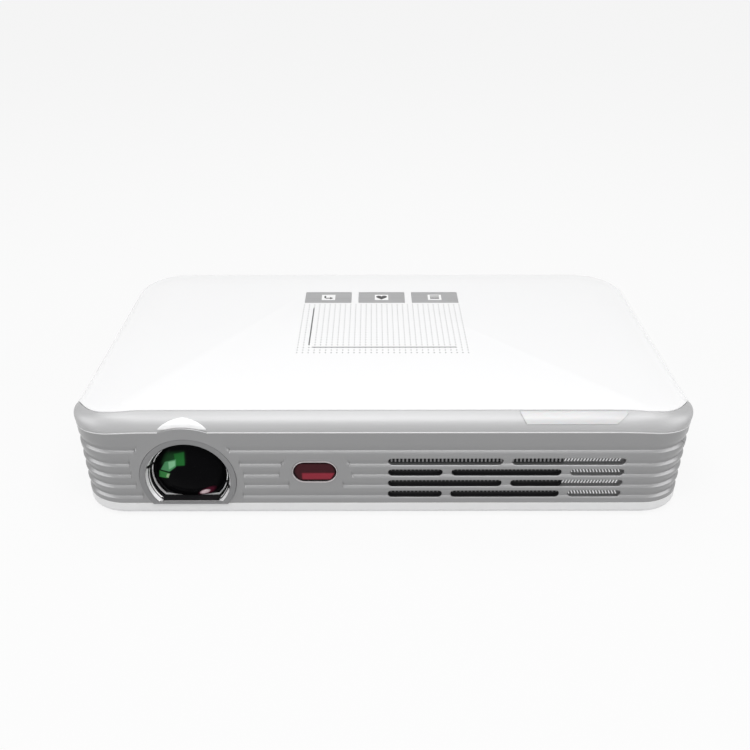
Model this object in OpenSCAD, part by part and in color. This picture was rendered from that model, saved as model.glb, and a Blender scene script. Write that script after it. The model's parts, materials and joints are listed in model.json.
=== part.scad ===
// Portable projector with a disc drive built into its case.
// X points right, Y to the back and Z up, in millimetres.
// The origin is on the surface the projector stands on, under the middle of the case.

/* [Case] */
// Width of the bay left of the disc drive, for the lens and its light engine
bay_w = 107.8; // [106:0.2:112]
// Room between the front face and the disc drive
drive_front = 7; // [7:0.5:9]
// Room between the disc drive and the back face
drive_back = 11; // [11:0.5:14]
// Height of the case without its feet
body_h = 46; // [45.5:0.5:50]
// Plan radius of the two front corners
front_r = 13; // [12:0.5:14]
// Plan radius of the two back corners
back_r = 22; // [21:0.5:23]
// Wall thickness of the white covers
wall = 2.2; // [1.8:0.1:2.6]
// Thickness of the silver side wall at its top edge
band_t = 3; // [2.8:0.1:3.2]
// How far the silver wall leans in from its top edge to its bottom edge
band_draft = 1; // [0.6:0.1:1.2]
// Height of the joint between the bottom cover and the silver wall
base_h = 5.5; // [5:0.1:6]
// Rounding of the bottom edge
base_edge_r = 2.6; // [2.4:0.1:3]
// Height of the sloping brow above the silver wall
brow_h = 6.4; // [6:0.1:7]
// How far the crease of the top lies behind the front face
crease_in = 6.3; // [5.8:0.1:6.8]
// Radius of the convex brow
brow_r = 8; // [7.6:0.1:9]
// How far the seam over the silver wall drops towards the sides
seam_drop = 1.8; // [1.4:0.1:2]
// Half width of the straight middle of that seam
seam_flat = 88; // [84:1:92]
// Set-back of the upper covers behind the silver wall
lip = 0.4; // [0.3:0.1:0.5]
// Width of the soft shoulder round the top
shoulder = 18; // [16:0.5:20]
// Radius of that shoulder
shoulder_r = 110; // [100:5:130]
// Rounding of the top's outer edge
edge_r = 3; // [2.6:0.1:3.4]
// Height of the rubber feet
foot_h = 1.2; // [1:0.1:2]
// Radius of the rubber feet
foot_r = 6; // [5:0.5:8]

/* [Ribs] */
// Number of ribs on the silver wall
ribs = 5; // [4:1:5]
// Height of the top rib's ledge
rib_top_h = 30.8; // [30.6:0.1:31]
// Height of the second rib's ledge
rib_next_h = 24.4; // [24.2:0.1:24.6]
// Spacing of the ribs below the second
rib_pitch = 5.24; // [5:0.02:5.3]
// Depth of a rib at its ledge
rib_depth = 0.7; // [0.5:0.1:0.9]
// Height of a rib's long slope
rib_run = 3.9; // [3.4:0.1:4.1]
// Height of a rib's ledge
rib_ledge = 0.8; // [0.6:0.1:0.9]

/* [Lens] */
// Lens centre from the left side of the case
lens_in = 43.2; // [43:0.1:44]
// Lens centre above the underside of the case
lens_h = 17.35; // [17.1:0.05:17.8]
// Outer radius of the lens ring
ring_r = 19; // [18.6:0.1:19.4]
// Inner radius of the lens ring
ring_in_r = 16.2; // [16:0.1:16.4]
// Radius of the front lens
glass_r = 14.5; // [14:0.1:14.6]
// Radius of the curved front of the front lens
glass_dome_r = 24; // [22:1:30]
// Radius of the focusing barrel
barrel_r = 13.2; // [12.8:0.1:13.3]
// Length of the barrel behind its cup
barrel_l = 26; // [24:1:27]
// Focus travel each way
focus_travel = 1.5; // [1:0.1:1.6]
// How far the silver wall's arc over the lens rises above the seam
bulge_rise = 1.95; // [1.6:0.05:2.3]
// Rise of the white hood over the lens, for each millimetre of depth
hood_slope = 1.08; // [1:0.02:1.2]
// Depth at which the hood ends
hood_end = 2.9; // [2.6:0.1:3.2]
// Radius of the focus wheel
wheel_r = 12.4; // [12:0.1:12.6]
// Thickness of the focus wheel
wheel_t = 3.2; // [2.8:0.1:3.4]
// Teeth on the focus pinion
pinion_teeth = 10; // [10:1:10]
// Tooth module of the focus pinion and rack
tooth_m = 0.8; // [0.8:0.1:0.8]
// Radial clearance of parts that turn or slide
run_gap = 0.05; // [0.03:0.01:0.08]

/* [Front] */
// Distance from the lens centre to the middle of the infrared window
ir_off = 50.2; // [49:0.1:52]
// Height of the infrared window's middle
ir_h = 21.1; // [20:0.1:22]
// Width of the infrared window
ir_w = 17.6; // [16:0.1:19]
// Height of the infrared window
ir_t = 9.8; // [9:0.1:10.4]
// Distance from the infrared window's middle to the vent slots
vent_off = 28.8; // [28:0.1:30]
// Distance from the vent slots to the right side
vent_in = 25.6; // [24:0.1:27]
// Height of a vent slot
vent_h = 3; // [2.6:0.1:3.2]
// Width of the bars between two vent slots
vent_bar = 3.4; // [3:0.1:4]
// Length of the status light bar
bar_len = 41.5; // [38:0.5:44]
// Distance from the light bar to the right side
bar_in = 26.5; // [24:0.5:28]
// How far the light bar stands off the brow
bar_proud = 0.45; // [0.3:0.05:0.6]

/* [Touch keys] */
// Width of a touch key
key_w = 22.6; // [20:0.2:23]
// Depth of a touch key
key_d = 13; // [12:0.5:14]
// Spacing of the touch keys
key_pitch = 26; // [25:0.5:28]
// Distance from the front face to the middle of the keys
key_y = 112.3; // [111:0.1:113]
// Distance from the front face to the front of the touch field
pad_y0 = 53.8; // [50:0.5:56]
// Width of the touch field
pad_w = 75; // [70:1:80]

/* [Disc drive] */
// Diameter of the disc that the drive takes
disc_d = 120; // [118:1:122]
// Height of the drive
drive_h = 12.7; // [12.6:0.1:13]
// Thickness of the drive's sheet metal
sheet_t = 0.6; // [0.5:0.1:0.6]
// Depth of the disc well
well_t = 2.2; // [2:0.1:2.4]
// Radius of the hub that holds the disc
hub_r = 7.4; // [7.2:0.05:7.45]
// Travel of the eject button
eject_travel = 0.8; // [0.5:0.1:0.9]
// Gap round the tray door
door_gap = 0.35; // [0.3:0.05:0.4]

/* [Inside] */
// Outer size of the blower
blower_w = 52; // [50:0.5:52]
// Height of the blower
blower_h = 14; // [13:0.5:15]
// Number of blades on the blower wheel
blades = 22; // [16:1:26]
// Spacing of the cooling fins
fin_pitch = 1.9; // [1.8:0.1:2.4]
// Height of the main board above the underside
board_h = 9; // [8:0.5:9.5]
// Travel of the power button
power_travel = 0.8; // [0.5:0.1:0.9]
// Minor radius of the tripod thread
tripod_r = 2.55; // [2.5:0.05:2.6]
// Depth of the tripod thread
tripod_l = 7; // [6:0.5:8]

/* [Hidden] */
$fn = 96;
eps = 0.01;

// The drive is as large as its disc asks, and the case goes round the drive
drive_l = disc_d + 6;
drive_w = disc_d + 8;
drive_in = 7.2;
well_r = disc_d / 2 + 0.4;
tray_travel = disc_d + 10;
pickup_travel = disc_d / 2 - 28;
body_w = bay_w + drive_l + drive_in;
body_d = drive_front + drive_w + drive_back;

// Places measured from the case's own faces
function fy(d) = d - body_d / 2;
function by(d) = body_d / 2 - d;
function lx(d) = d - body_w / 2;
function rx(d) = body_w / 2 - d;
function uz(h) = foot_h + h;

seam_h = body_h - brow_h;
lens_x = lx(lens_in);
ir_x = lens_x + ir_off;
vent_x0 = ir_x + vent_off;
vent_x1 = rx(vent_in);
bar_x1 = rx(bar_in);
bar_x0 = bar_x1 - bar_len;
seam_l = body_w / 2 - seam_flat;
seam_r = (seam_l * seam_l + seam_drop * seam_drop) / (2 * seam_drop);
rib_gap_h = seam_h - seam_drop;

function rib_h(i) = i == 0 ? rib_top_h : rib_next_h - (i - 1) * rib_pitch;
function draft_at(h) = band_draft * (seam_h - h) / (seam_h - base_h);

// Centre of the brow's arc, as [depth, height]
brow_run = crease_in - lip;
brow_chord = norm([brow_run, brow_h]);
brow_sag = sqrt(brow_r * brow_r - brow_chord * brow_chord / 4);
brow_cy = (lip + crease_in) / 2 + brow_sag * brow_h / brow_chord;
brow_ch = seam_h + brow_h / 2 - brow_sag * brow_run / brow_chord;
crease_r = 8.7;
crease_reach = 0.8;
crease_cx = body_w / 2 - lip - crease_r + crease_reach;
bezel_wrap = 20;
bulge_r = seam_h - lens_h + bulge_rise;

// Lens group depths, behind the front face
ring_y0 = 0.25;
ring_y1 = 2.3;
ring_flat = lens_h - base_h;
ring_in_flat = ring_flat - 1.3;
glass_apex_y = 3.4;
glass_sag = glass_dome_r - sqrt(glass_dome_r * glass_dome_r - glass_r * glass_r);
glass_edge_y = glass_apex_y + glass_sag;
glass_t = 2;
cup_t = 0.7;
cup_r = glass_r + cup_t;
cup_flat = ring_in_flat - 0.3;
cup_y0 = glass_edge_y - 0.3;
cup_y1 = glass_edge_y + glass_t + 2;
shade_y1 = cup_y1 - focus_travel - 0.3;
shade_in_r = cup_r + 0.5;
shade_t = 0.8;
barrel_y1 = cup_y1 + barrel_l;
barrel_in_r = barrel_r - 1.5;
holder_y0 = cup_y1 + 15;
holder_y1 = holder_y0 + 12;
holder_r = lens_h - wall - 0.15;
wheel_x = lx(0.8) + wheel_r;
wheel_y = fy(30);
wheel_h = 12;
pinion_r = pinion_teeth * tooth_m / 2;
pinion_t = 3;
dish_r = 20;
axle_r = 2;
dish_depth = 1.2;
rack_x = wheel_x + pinion_r;
engine_y0 = holder_y1 + 2;
engine_w = 48;
engine_d = 42;
engine_h0 = 4;
engine_h1 = 27.4;
engine_t = 1.8;
engine_x0 = lens_x - 22.7;

// Drive
drive_x1 = rx(drive_in);
drive_x0 = drive_x1 - drive_l;
drive_cy = fy(drive_front) + drive_w / 2;
drive_h1 = rib_gap_h + 0.4;
drive_h0 = drive_h1 - drive_h;
pan_h0 = drive_h0 + sheet_t + 0.3;
pan_t = 0.5;
plate_h0 = pan_h0 + pan_t + 3.6;
tray_h1 = plate_h0 + 0.8 + well_t;
well_h = tray_h1 - well_t;
tray_x1 = drive_x1 - 0.3;
tray_x0 = drive_x0 + 1.5;
tray_half = well_r + 2;
disc_x = tray_x1 - well_r - 2.2;
door_h0 = pan_h0;
rail_half = drive_w / 2 - sheet_t - 0.3;
door_half = rail_half + 0.1;
rail_w = 2.3;
rail_len = tray_travel - 12;
skirt_half = rail_half - rail_w - 0.3;
skirt_t = 1.5;
front_t = 2.4;
rod_r = 1;
rod_off = 12;
rod_h = pan_h0 + pan_t + 1.8;
screw_off = 17;
screw_r = 1.2;
sled_l = 14;
sled_x = disc_x - 20;
motor_r = 10.5;

// Blower, fins and boards
blower_x0 = vent_x0 + 8;
blower_y0 = fy(12);
blower_h0 = 5;
rotor_r = 18;
fin_x1 = vent_x1 + 2.5;
fin_x0 = vent_x0 + 68.5;
fin_y0 = fy(5);
fin_y1 = fy(36);
pipe_r = 2.5;
pipe_y = fy(68);
pipe_h = 6;
pipe_bend = 10;
port_h = board_h + 1.6;
io_x0 = lx(22.5);
io_x1 = drive_x0 - 9.3;
io_h0 = base_h + 1.5;
io_h1 = 21;
plate_proud = 0.1;
power_x = drive_x0 + 32.7;
power_h = 14;
power_r = 3.4;
batt_y0 = fy(75);
batt_y1 = by(13);
batt_x0 = drive_x0 + 16.7;
cell_w = (drive_l - 33) / 3;
tripod_y = fy(86);
tripod_x = drive_x0 - 13.3;

// ---------- helpers ----------

module block(x0, x1, y0, y1, z0, z1) {
  translate([x0, y0, z0])
    cube([x1 - x0, y1 - y0, z1 - z0]);
}

// A cylinder along Y from depth y0 to y1
module along_y(x, z, r, y0, y1) {
  translate([x, y0, z])
    rotate([-90, 0, 0])
      cylinder(r = r, h = y1 - y0);
}

// A cylinder along X
module along_x(y, z, r, x0, x1) {
  translate([x0, y, z])
    rotate([0, 90, 0])
      cylinder(r = r, h = x1 - x0);
}

// Shape drawn in X and Z, carried from y0 to y1
module slab_y(y0, y1) {
  translate([0, y1, 0])
    rotate([90, 0, 0])
      linear_extrude(y1 - y0)
        children();
}

module on_side(s) {
  if (s > 0)
    children();
  else
    mirror([1, 0, 0])
      children();
}

// Plan outline of the case, g inside its nominal edge
module outline(g) {
  w = body_w / 2;
  union() {
    polygon([
      [front_r - w, fy(g)], [w - front_r, fy(g)],
      [w - g, fy(front_r)], [w - g, by(back_r)],
      [w - back_r, by(g)], [back_r - w, by(g)],
      [g - w, by(back_r)], [g - w, fy(front_r)]
    ]);
    for (s = [-1, 1]) {
      translate([s * (w - front_r), fy(front_r)])
        circle(r = front_r - g);
      translate([s * (w - back_r), by(back_r)])
        circle(r = back_r - g);
    }
  }
}

// Runs and corners carry a profile drawn as [distance inwards, height]
module front_run(x0, x1) {
  translate([x0, fy(0), 0])
    rotate([90, 0, 90])
      linear_extrude(x1 - x0)
        children();
}

module back_run(x0, x1) {
  translate([x0, by(0), 0])
    rotate([90, 0, 90])
      linear_extrude(x1 - x0)
        mirror([1, 0])
          children();
}

module side_run(s, y0, y1) {
  on_side(s)
    translate([body_w / 2, y1, 0])
      rotate([90, 0, 0])
        linear_extrude(y1 - y0)
          mirror([1, 0])
            children();
}

module front_corner(s) {
  on_side(s)
    translate([body_w / 2 - front_r, fy(front_r), 0])
      rotate([0, 0, -90])
        rotate_extrude(angle = 90)
          translate([front_r, 0])
            mirror([1, 0])
              children();
}

module back_corner(s) {
  on_side(s)
    translate([body_w / 2 - back_r, by(back_r), 0])
      rotate_extrude(angle = 90)
        translate([back_r, 0])
          mirror([1, 0])
            children();
}

// Everything below the seam over the silver wall, in X and Z
module below_seam() {
  union() {
    translate([-seam_flat, uz(0)])
      square([2 * seam_flat, seam_h]);
    for (s = [-1, 1])
      intersection() {
        translate([s * seam_flat, uz(seam_h - seam_r)])
          circle(r = seam_r, $fn = 360);
        translate([s > 0 ? seam_flat : -seam_flat - seam_l - 2, uz(0)])
          square([seam_l + 2, seam_h]);
      }
  }
}

module below_seam_body(g) {
  slab_y(fy(-1), by(-1))
    translate([0, -g])
      below_seam();
}

// A circle with its lower part cut flat
module flat_circle(r, flat) {
  intersection() {
    circle(r = r);
    translate([-r, -flat])
      square([2 * r, r + flat]);
  }
}

module lens_slab(d0, d1) {
  slab_y(fy(d0), fy(d1))
    translate([lens_x, uz(lens_h)])
      children();
}

module slot2d(x0, x1, z0, t) {
  union() {
    translate([x0 + t / 2, z0])
      square([x1 - x0 - t, t]);
    for (x = [x0 + t / 2, x1 - t / 2])
      translate([x, z0 + t / 2])
        circle(r = t / 2, $fn = 32);
  }
}

// ---------- silver wall ----------

function rib_points(i, deep) = [
  [draft_at(rib_h(i) + rib_run), uz(rib_h(i) + rib_run)],
  [draft_at(rib_h(i)) + deep, uz(rib_h(i) + rib_ledge / 2)],
  [draft_at(rib_h(i)), uz(rib_h(i) - rib_ledge / 2)]
];

module band_profile(deep) {
  polygon(concat(
    [[draft_at(seam_h), uz(seam_h)]],
    [for (i = [0 : ribs - 1]) each rib_points(i, deep)],
    [[draft_at(base_h), uz(base_h)], [band_t, uz(base_h)], [band_t, uz(seam_h)]]
  ));
}

// The wedge that one rib takes out of a plain wall
module rib_wedge(i) {
  h0 = uz(rib_h(i) - rib_ledge / 2);
  h1 = uz(rib_h(i) + rib_run);
  polygon([
    [-1, h0], rib_points(i, rib_depth)[2], rib_points(i, rib_depth)[1],
    rib_points(i, rib_depth)[0], [-1, h1]
  ]);
}

function rib_left_end(i) = lens_x - (i == 0 ? 19.7 : i == 4 ? 19 : i == 3 ? 21 : 22.3);
function rib_right_start(i) = lens_x + (i == 0 ? 17.4 : i == 1 ? 20.9 : i == 4 ? 21.3 : 22.2);
function meets_window(i) = i > 0 && i < ribs - 1;
window_clear = [4.4, 5.4, 1.8];

module front_ribs() {
  x_end = body_w / 2 - front_r;
  for (i = [0 : ribs - 1]) {
    front_run(-x_end, rib_left_end(i))
      rib_wedge(i);
    if (meets_window(i)) {
      front_run(rib_right_start(i), ir_x - ir_w / 2 - window_clear[i - 1])
        rib_wedge(i);
      front_run(ir_x + ir_w / 2 + window_clear[i - 1] + 0.5, x_end)
        rib_wedge(i);
    } else
      front_run(rib_right_start(i), x_end)
        rib_wedge(i);
  }
}

// Vent rows sit on the ledges below the top one, with their bars staggered
row_len = vent_x1 - vent_x0;
function row_ends(i) = i % 2 == 1
  ? [vent_x0, vent_x0 + row_len * 0.503, vent_x1]
  : [vent_x0, vent_x0 + row_len * 0.25, vent_x0 + row_len * 0.753, vent_x1];

module vent_slots() {
  for (i = [1 : ribs - 1])
    for (k = [0 : len(row_ends(i)) - 2])
      slot2d(
        row_ends(i)[k] + (k == 0 ? 0 : vent_bar / 2),
        row_ends(i)[k + 1] - (k == len(row_ends(i)) - 2 ? 0 : vent_bar / 2),
        uz(rib_h(i)), vent_h
      );
}

module ir_outline(g) {
  slot2d(ir_x - ir_w / 2 + g, ir_x + ir_w / 2 - g, uz(ir_h - ir_t / 2 + g), ir_t - 2 * g);
}

// Space that the tray's door takes in the right wall, up to the seam
module door_slot(g) {
  block(rx(9), rx(-1), drive_cy - door_half - g, drive_cy + door_half + g, uz(door_h0 - g), uz(seam_h + 1));
}

module front_bezel() color([0.6, 0.6, 0.61]) {
  x_end = body_w / 2 - front_r;
  difference() {
    union() {
      intersection() {
        union() {
          difference() {
            front_run(-x_end, x_end)
              band_profile(0);
            front_ribs();
          }
          for (s = [-1, 1]) {
            front_corner(s)
              band_profile(rib_depth);
            side_run(s, fy(front_r), fy(bezel_wrap))
              band_profile(rib_depth);
          }
        }
        below_seam_body(0);
      }
      // arched lip over the lens
      intersection() {
        along_y(lens_x, uz(lens_h), bulge_r, fy(0), fy(0.7));
        block(lens_x - bulge_r, lens_x + bulge_r, fy(0), fy(1), uz(seam_h - 1), uz(body_h));
      }
    }
    lens_slab(-1, band_t + 1)
      flat_circle(ring_r + 0.15, ring_flat + 1);
    slab_y(fy(-1), fy(band_t + 1)) {
      vent_slots();
      ir_outline(-0.1);
    }
    door_slot(door_gap);
  }
  for (k = [0, 1])
    screw_boss(screw_places[k], 0, fy(band_t) - screw_places[k][1] - eps);
}

module left_side_panel() color([0.6, 0.6, 0.61]) {
  screw_boss(screw_places[2], lx(band_t) - screw_places[2][0] - eps, 0);
  difference() {
    intersection() {
      side_run(-1, fy(bezel_wrap), by(back_r))
        band_profile(rib_depth);
      below_seam_body(0);
    }
    // slot for the focus wheel, in a shallow finger dish
    block(lx(-1), lx(band_t + 1), wheel_y - 8.6, wheel_y + 8.6,
      uz(wheel_h - 0.6), uz(wheel_h + wheel_t + 0.6));
    translate([lx(dish_depth - dish_r), wheel_y, uz(wheel_h + wheel_t / 2 - 6)])
      cylinder(r = dish_r, h = 12);
    // exhaust slots
    for (i = [1 : ribs - 2])
      for (k = [0 : 2])
        block(lx(-1), lx(band_t + 1), fy(54 + k * 20), fy(71 + k * 20),
          uz(rib_h(i)), uz(rib_h(i) + vent_h));
  }
}

module right_side_panel() color([0.6, 0.6, 0.61]) {
  screw_boss(screw_places[3], rx(band_t) - screw_places[3][0] + eps, 0);
  difference() {
    intersection() {
      side_run(1, fy(bezel_wrap), by(back_r))
        band_profile(rib_depth);
      below_seam_body(0);
    }
    door_slot(door_gap);
    // speaker slots
    for (i = [2 : ribs - 1])
      for (k = [0 : 1])
        block(rx(band_t + 1), rx(-1), fy(24 + k * 20), fy(41 + k * 20),
          uz(rib_h(i)), uz(rib_h(i) + vent_h));
  }
}

// Flat plate that stands a little proud of the wall between its ribs
module plain_plate() {
  polygon([
    [draft_at(io_h1) - plate_proud, uz(io_h1)], [draft_at(io_h0) - plate_proud, uz(io_h0)],
    [band_t, uz(io_h0)], [band_t, uz(io_h1)]
  ]);
}

module rear_panel() color([0.6, 0.6, 0.61]) {
  x_end = body_w / 2 - back_r;
  difference() {
    intersection() {
      union() {
        back_run(-x_end, x_end)
          band_profile(rib_depth);
        for (s = [-1, 1])
          back_corner(s)
            band_profile(rib_depth);
        // plain plates round the sockets and the power button
        back_run(io_x0, io_x1)
          plain_plate();
        back_run(power_x - 8, power_x + 8)
          plain_plate();
      }
      below_seam_body(0);
    }
    for (p = ports)
      block(p[0] - p[1] / 2 - 0.2, p[0] + p[1] / 2 + 0.2, by(band_t + 1), by(-1),
        uz(port_h) - 0.2, uz(port_h + p[2]) + 0.2);
    along_y(audio_x, uz(port_h + 3.2), 3.2, by(band_t + 1), by(-1));
    along_y(dc_x, uz(port_h + 4), 3.7, by(band_t + 1), by(-1));
    along_y(power_x, uz(power_h), power_r + 0.25, by(band_t + 1), by(-1));
    // thinner inside where the button's flange moves
    block(power_x - 6, power_x + 6, by(band_t + 1), by(2), uz(power_h - 6), uz(power_h + 6));
    door_slot(door_gap);
  }
  for (k = [4, 5])
    screw_boss(screw_places[k], 0, by(band_t) - screw_places[k][1] + eps);
}

// ---------- covers ----------

module base_outer() {
  e = band_draft;
  union() {
    translate([e + base_edge_r, uz(0)])
      square([front_r - 1 - e - base_edge_r, base_h]);
    translate([e, uz(base_edge_r)])
      square([base_edge_r + eps, base_h - base_edge_r]);
    translate([e + base_edge_r, uz(base_edge_r)])
      circle(r = base_edge_r);
  }
}

module base_profile() {
  e = band_draft + wall;
  difference() {
    base_outer();
    translate([e, uz(wall)])
      square([front_r, base_h]);
  }
}

drive_posts = [
  [drive_x0 + 6, drive_cy - drive_w / 2 + 6], [drive_x1 - 6, drive_cy - drive_w / 2 + 5],
  [drive_x0 + 6, drive_cy + drive_w / 2 - 6], [drive_x1 - 6, drive_cy + drive_w / 2 - 6]
];
board_x0 = lx(9);
board_x1 = drive_x0 - 3.3;
board_y0 = fy(engine_y0 + engine_d + 7.72);
board_y1 = by(4.5);
board_posts = [
  [board_x0 + 4, board_y0 + 4], [board_x1 - 4, board_y0 + 4],
  [board_x0 + 12, board_y1 - 5], [board_x1 - 4, board_y1 - 5]
];
screw_places = [
  [lx(20), fy(9)], [rx(20), fy(9)], [lx(9), fy(46)],
  [rx(9), fy(68)], [board_x1 + 5, by(8)], [power_x + 44, by(8)]
];
boss_r = 2.6;
boss_top = 10;
screw_shank_r = 1.25;
head_r = 2.3;
head_t = 1;

// Boss on a side wall, with its web, for the screw at place p
module screw_boss(p, web_x, web_y) {
  half_x = web_x == 0 ? 1 : 0;
  half_y = web_y == 0 ? 1 : 0;
  difference() {
    union() {
      translate([p[0], p[1], uz(wall)])
        cylinder(r = boss_r, h = boss_top - wall);
      block(min(p[0], p[0] + web_x) - half_x, max(p[0], p[0] + web_x) + half_x,
        min(p[1], p[1] + web_y) - half_y, max(p[1], p[1] + web_y) + half_y,
        uz(base_h), uz(boss_top));
    }
    translate([p[0], p[1], uz(0)])
      cylinder(r = screw_shank_r, h = boss_top + 1);
  }
}
feet_x = body_w / 2 - 26;
feet_y = body_d / 2 - 22;

module bottom_cover() color([0.93, 0.93, 0.93])
  difference() {
    union() {
      front_run(front_r - body_w / 2, body_w / 2 - front_r)
        base_profile();
      back_run(back_r - body_w / 2, body_w / 2 - back_r)
        base_profile();
      for (s = [-1, 1]) {
        side_run(s, fy(front_r), by(back_r))
          base_profile();
        front_corner(s)
          base_profile();
        back_corner(s)
          base_profile();
      }
      translate([0, 0, uz(0)])
        linear_extrude(wall)
          outline(front_r - 3);
      // posts under the drive, the main board and the blower
      for (p = drive_posts)
        translate([p[0], p[1], uz(wall - eps)])
          cylinder(r = 3, h = drive_h0 - wall + eps);
      for (p = board_posts)
        translate([p[0], p[1], uz(wall - eps)])
          cylinder(r = 2.6, h = board_h - wall + eps);
      for (x = [blower_x0 + 4, blower_x0 + blower_w - 4])
        for (y = [blower_y0 + 4, blower_y0 + blower_w - 4])
          translate([x, y, uz(wall - eps)])
            cylinder(r = 2.6, h = blower_h0 - wall + eps);
      for (x = [engine_x0 + 5, engine_x0 + engine_w - 5])
        for (y = [fy(engine_y0) + 5, fy(engine_y0) + engine_d - 5])
          translate([x, y, uz(wall - eps)])
            cylinder(r = 2.6, h = engine_h0 - wall + eps);
      translate([tripod_x, tripod_y, uz(wall - eps)])
        cylinder(r = 7, h = tripod_l + 1 - wall);
    }
    translate([tripod_x, tripod_y, foot_h - 1])
      cylinder(r = 5, h = tripod_l + 1);
    // foot pockets
    for (x = [-1, 1])
      for (y = [-1, 1])
        translate([x * feet_x, y * feet_y, uz(-1)])
          cylinder(r = foot_r, h = 1.8);
    // counterbores for the screws
    for (p = screw_places)
      translate([p[0], p[1], uz(-1)]) {
        cylinder(r = head_r + 0.2, h = 1 + head_t + 0.1);
        cylinder(r = screw_shank_r + 0.1, h = 6);
      }
    // air inlet under the blower
    for (k = [-3 : 3])
      block(blower_x0 + blower_w / 2 - 14, blower_x0 + blower_w / 2 + 14,
        blower_y0 + blower_w / 2 + k * 4.4 - 1.1, blower_y0 + blower_w / 2 + k * 4.4 + 1.1,
        uz(-1), uz(wall + 1));
  }

// Outer surface of the top, g inside it and t below it, as [distance inwards, height]
module dome_profile(g, t) {
  e = lip + g;
  r = max(edge_r - g, 0.8);
  zt = uz(body_h - t);
  run = shoulder - e - r;
  ze = zt - shoulder_r + sqrt(shoulder_r * shoulder_r - run * run);
  z0 = uz(base_h);
  intersection() {
    union() {
      translate([shoulder, zt - shoulder_r])
        circle(r = shoulder_r, $fn = 360);
      translate([shoulder, z0])
        square([back_r - shoulder, zt - z0]);
    }
    union() {
      translate([e + r, ze - r])
        circle(r = r);
      translate([e + r, z0])
        square([back_r - e - r, body_h]);
      translate([e, z0])
        square([r + eps, ze - r - z0]);
    }
    translate([e, z0])
      square([back_r - e, zt - z0]);
  }
}

module dome(g, t) {
  w = body_w / 2 - back_r;
  intersection() {
    union() {
      for (s = [-1, 1]) {
        side_run(s, fy(0), by(back_r))
          dome_profile(g, t);
        back_corner(s)
          dome_profile(g, t);
      }
      back_run(-w, w)
        dome_profile(g, t);
      block(-w, w, fy(0), by(back_r), uz(base_h), uz(body_h - t));
    }
    translate([0, 0, uz(base_h)])
      linear_extrude(body_h)
        outline(lip + g);
  }
}

// Plan of the top inside its crease
module crease_plan() {
  x_out = body_w / 2 + 1;
  union() {
    translate([-crease_cx, fy(crease_in)])
      square([2 * crease_cx, body_d]);
    translate([-x_out, fy(crease_in + crease_r)])
      square([2 * x_out, body_d]);
    for (s = [-1, 1])
      translate([s * crease_cx, fy(crease_in + crease_r)])
        circle(r = crease_r);
  }
}

module crease_body() {
  translate([0, 0, uz(base_h)])
    linear_extrude(body_h)
      crease_plan();
}

// Space behind the brow's convex face, g inside it
module brow_section(g) {
  intersection() {
    union() {
      translate([brow_cy, uz(brow_ch)])
        circle(r = brow_r - g);
      translate([brow_cy - brow_r + g, uz(base_h)])
        square([2 * brow_r, brow_ch - base_h]);
      translate([brow_cy, uz(base_h)])
        square([crease_in + crease_r - brow_cy, brow_ch + brow_r - g - base_h]);
    }
    translate([-1, uz(base_h)])
      square([crease_in + crease_r + 1, body_h]);
  }
}

module brow_body(g) {
  front_run(-crease_cx, crease_cx)
    brow_section(g);
  for (s = [-1, 1])
    on_side(s)
      translate([crease_cx, fy(crease_in + crease_r), 0])
        rotate([0, 0, -90])
          rotate_extrude(angle = 90)
            translate([crease_in + crease_r, 0])
              mirror([1, 0])
                brow_section(g);
}

module hood_cone() {
  d0 = 0.7;
  d1 = hood_end;
  translate([lens_x, fy(d0), uz(lens_h)])
    rotate([-90, 0, 0])
      cylinder(r1 = bulge_r + hood_slope * d0, r2 = bulge_r + hood_slope * d1, h = d1 - d0);
}

module light_bar_prism() {
  top = body_h - 0.15;
  low = seam_h + 3.1;
  slab_y(fy(-1), fy(crease_in))
    polygon([
      [bar_x0, uz(top)], [bar_x1, uz(top)], [bar_x1 - 5, uz(low)], [bar_x0 + 2.2, uz(low)]
    ]);
}

module front_brow() color([0.78, 0.78, 0.79])
  difference() {
    intersection() {
      difference() {
        intersection() {
          brow_body(0);
          dome(0, 0);
        }
        brow_body(wall);
        crease_body();
      }
      block(-body_w, body_w, fy(0), fy(bezel_wrap), uz(base_h), uz(body_h + 1));
    }
    below_seam_body(0);
    // arch in the silver wall and pocket for the hood
    along_y(lens_x, uz(lens_h), bulge_r, fy(-1), fy(0.7));
    difference() {
      hood_cone();
      brow_body(1);
    }
    difference() {
      light_bar_prism();
      brow_body(1.2);
    }
  }

module lens_hood() color([0.97, 0.97, 0.97])
  difference() {
    intersection() {
      hood_cone();
      block(lens_x - bulge_r, lens_x + bulge_r, fy(0), fy(hood_end), uz(seam_h - 1), uz(body_h));
    }
    below_seam_body(0);
    brow_body(1);
  }

module status_light_bar() color([0.96, 0.97, 0.98])
  intersection() {
    light_bar_prism();
    difference() {
      brow_body(-bar_proud);
      brow_body(1.2);
    }
  }

module key_pockets(t) {
  for (k = [-1 : 1])
    translate([k * key_pitch - key_w / 2, fy(key_y) - key_d / 2, uz(body_h - t)])
      cube([key_w, key_d, t]);
}

module top_cover() color([0.97, 0.97, 0.97])
  difference() {
    dome(0, 0);
    dome(wall, wall);
    difference() {
      translate([0, 0, uz(base_h)])
        linear_extrude(body_h)
          outline(-1);
      crease_body();
    }
    below_seam_body(0);
    key_pockets(0.6);
  }

module touch_keys() color([0.62, 0.63, 0.64])
  key_pockets(0.6);

module touch_board() color([0.1, 0.35, 0.2])
  block(-pad_w / 2, pad_w / 2, fy(pad_y0), fy(key_y + key_d / 2), uz(body_h - wall - 1), uz(body_h - wall));

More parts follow.
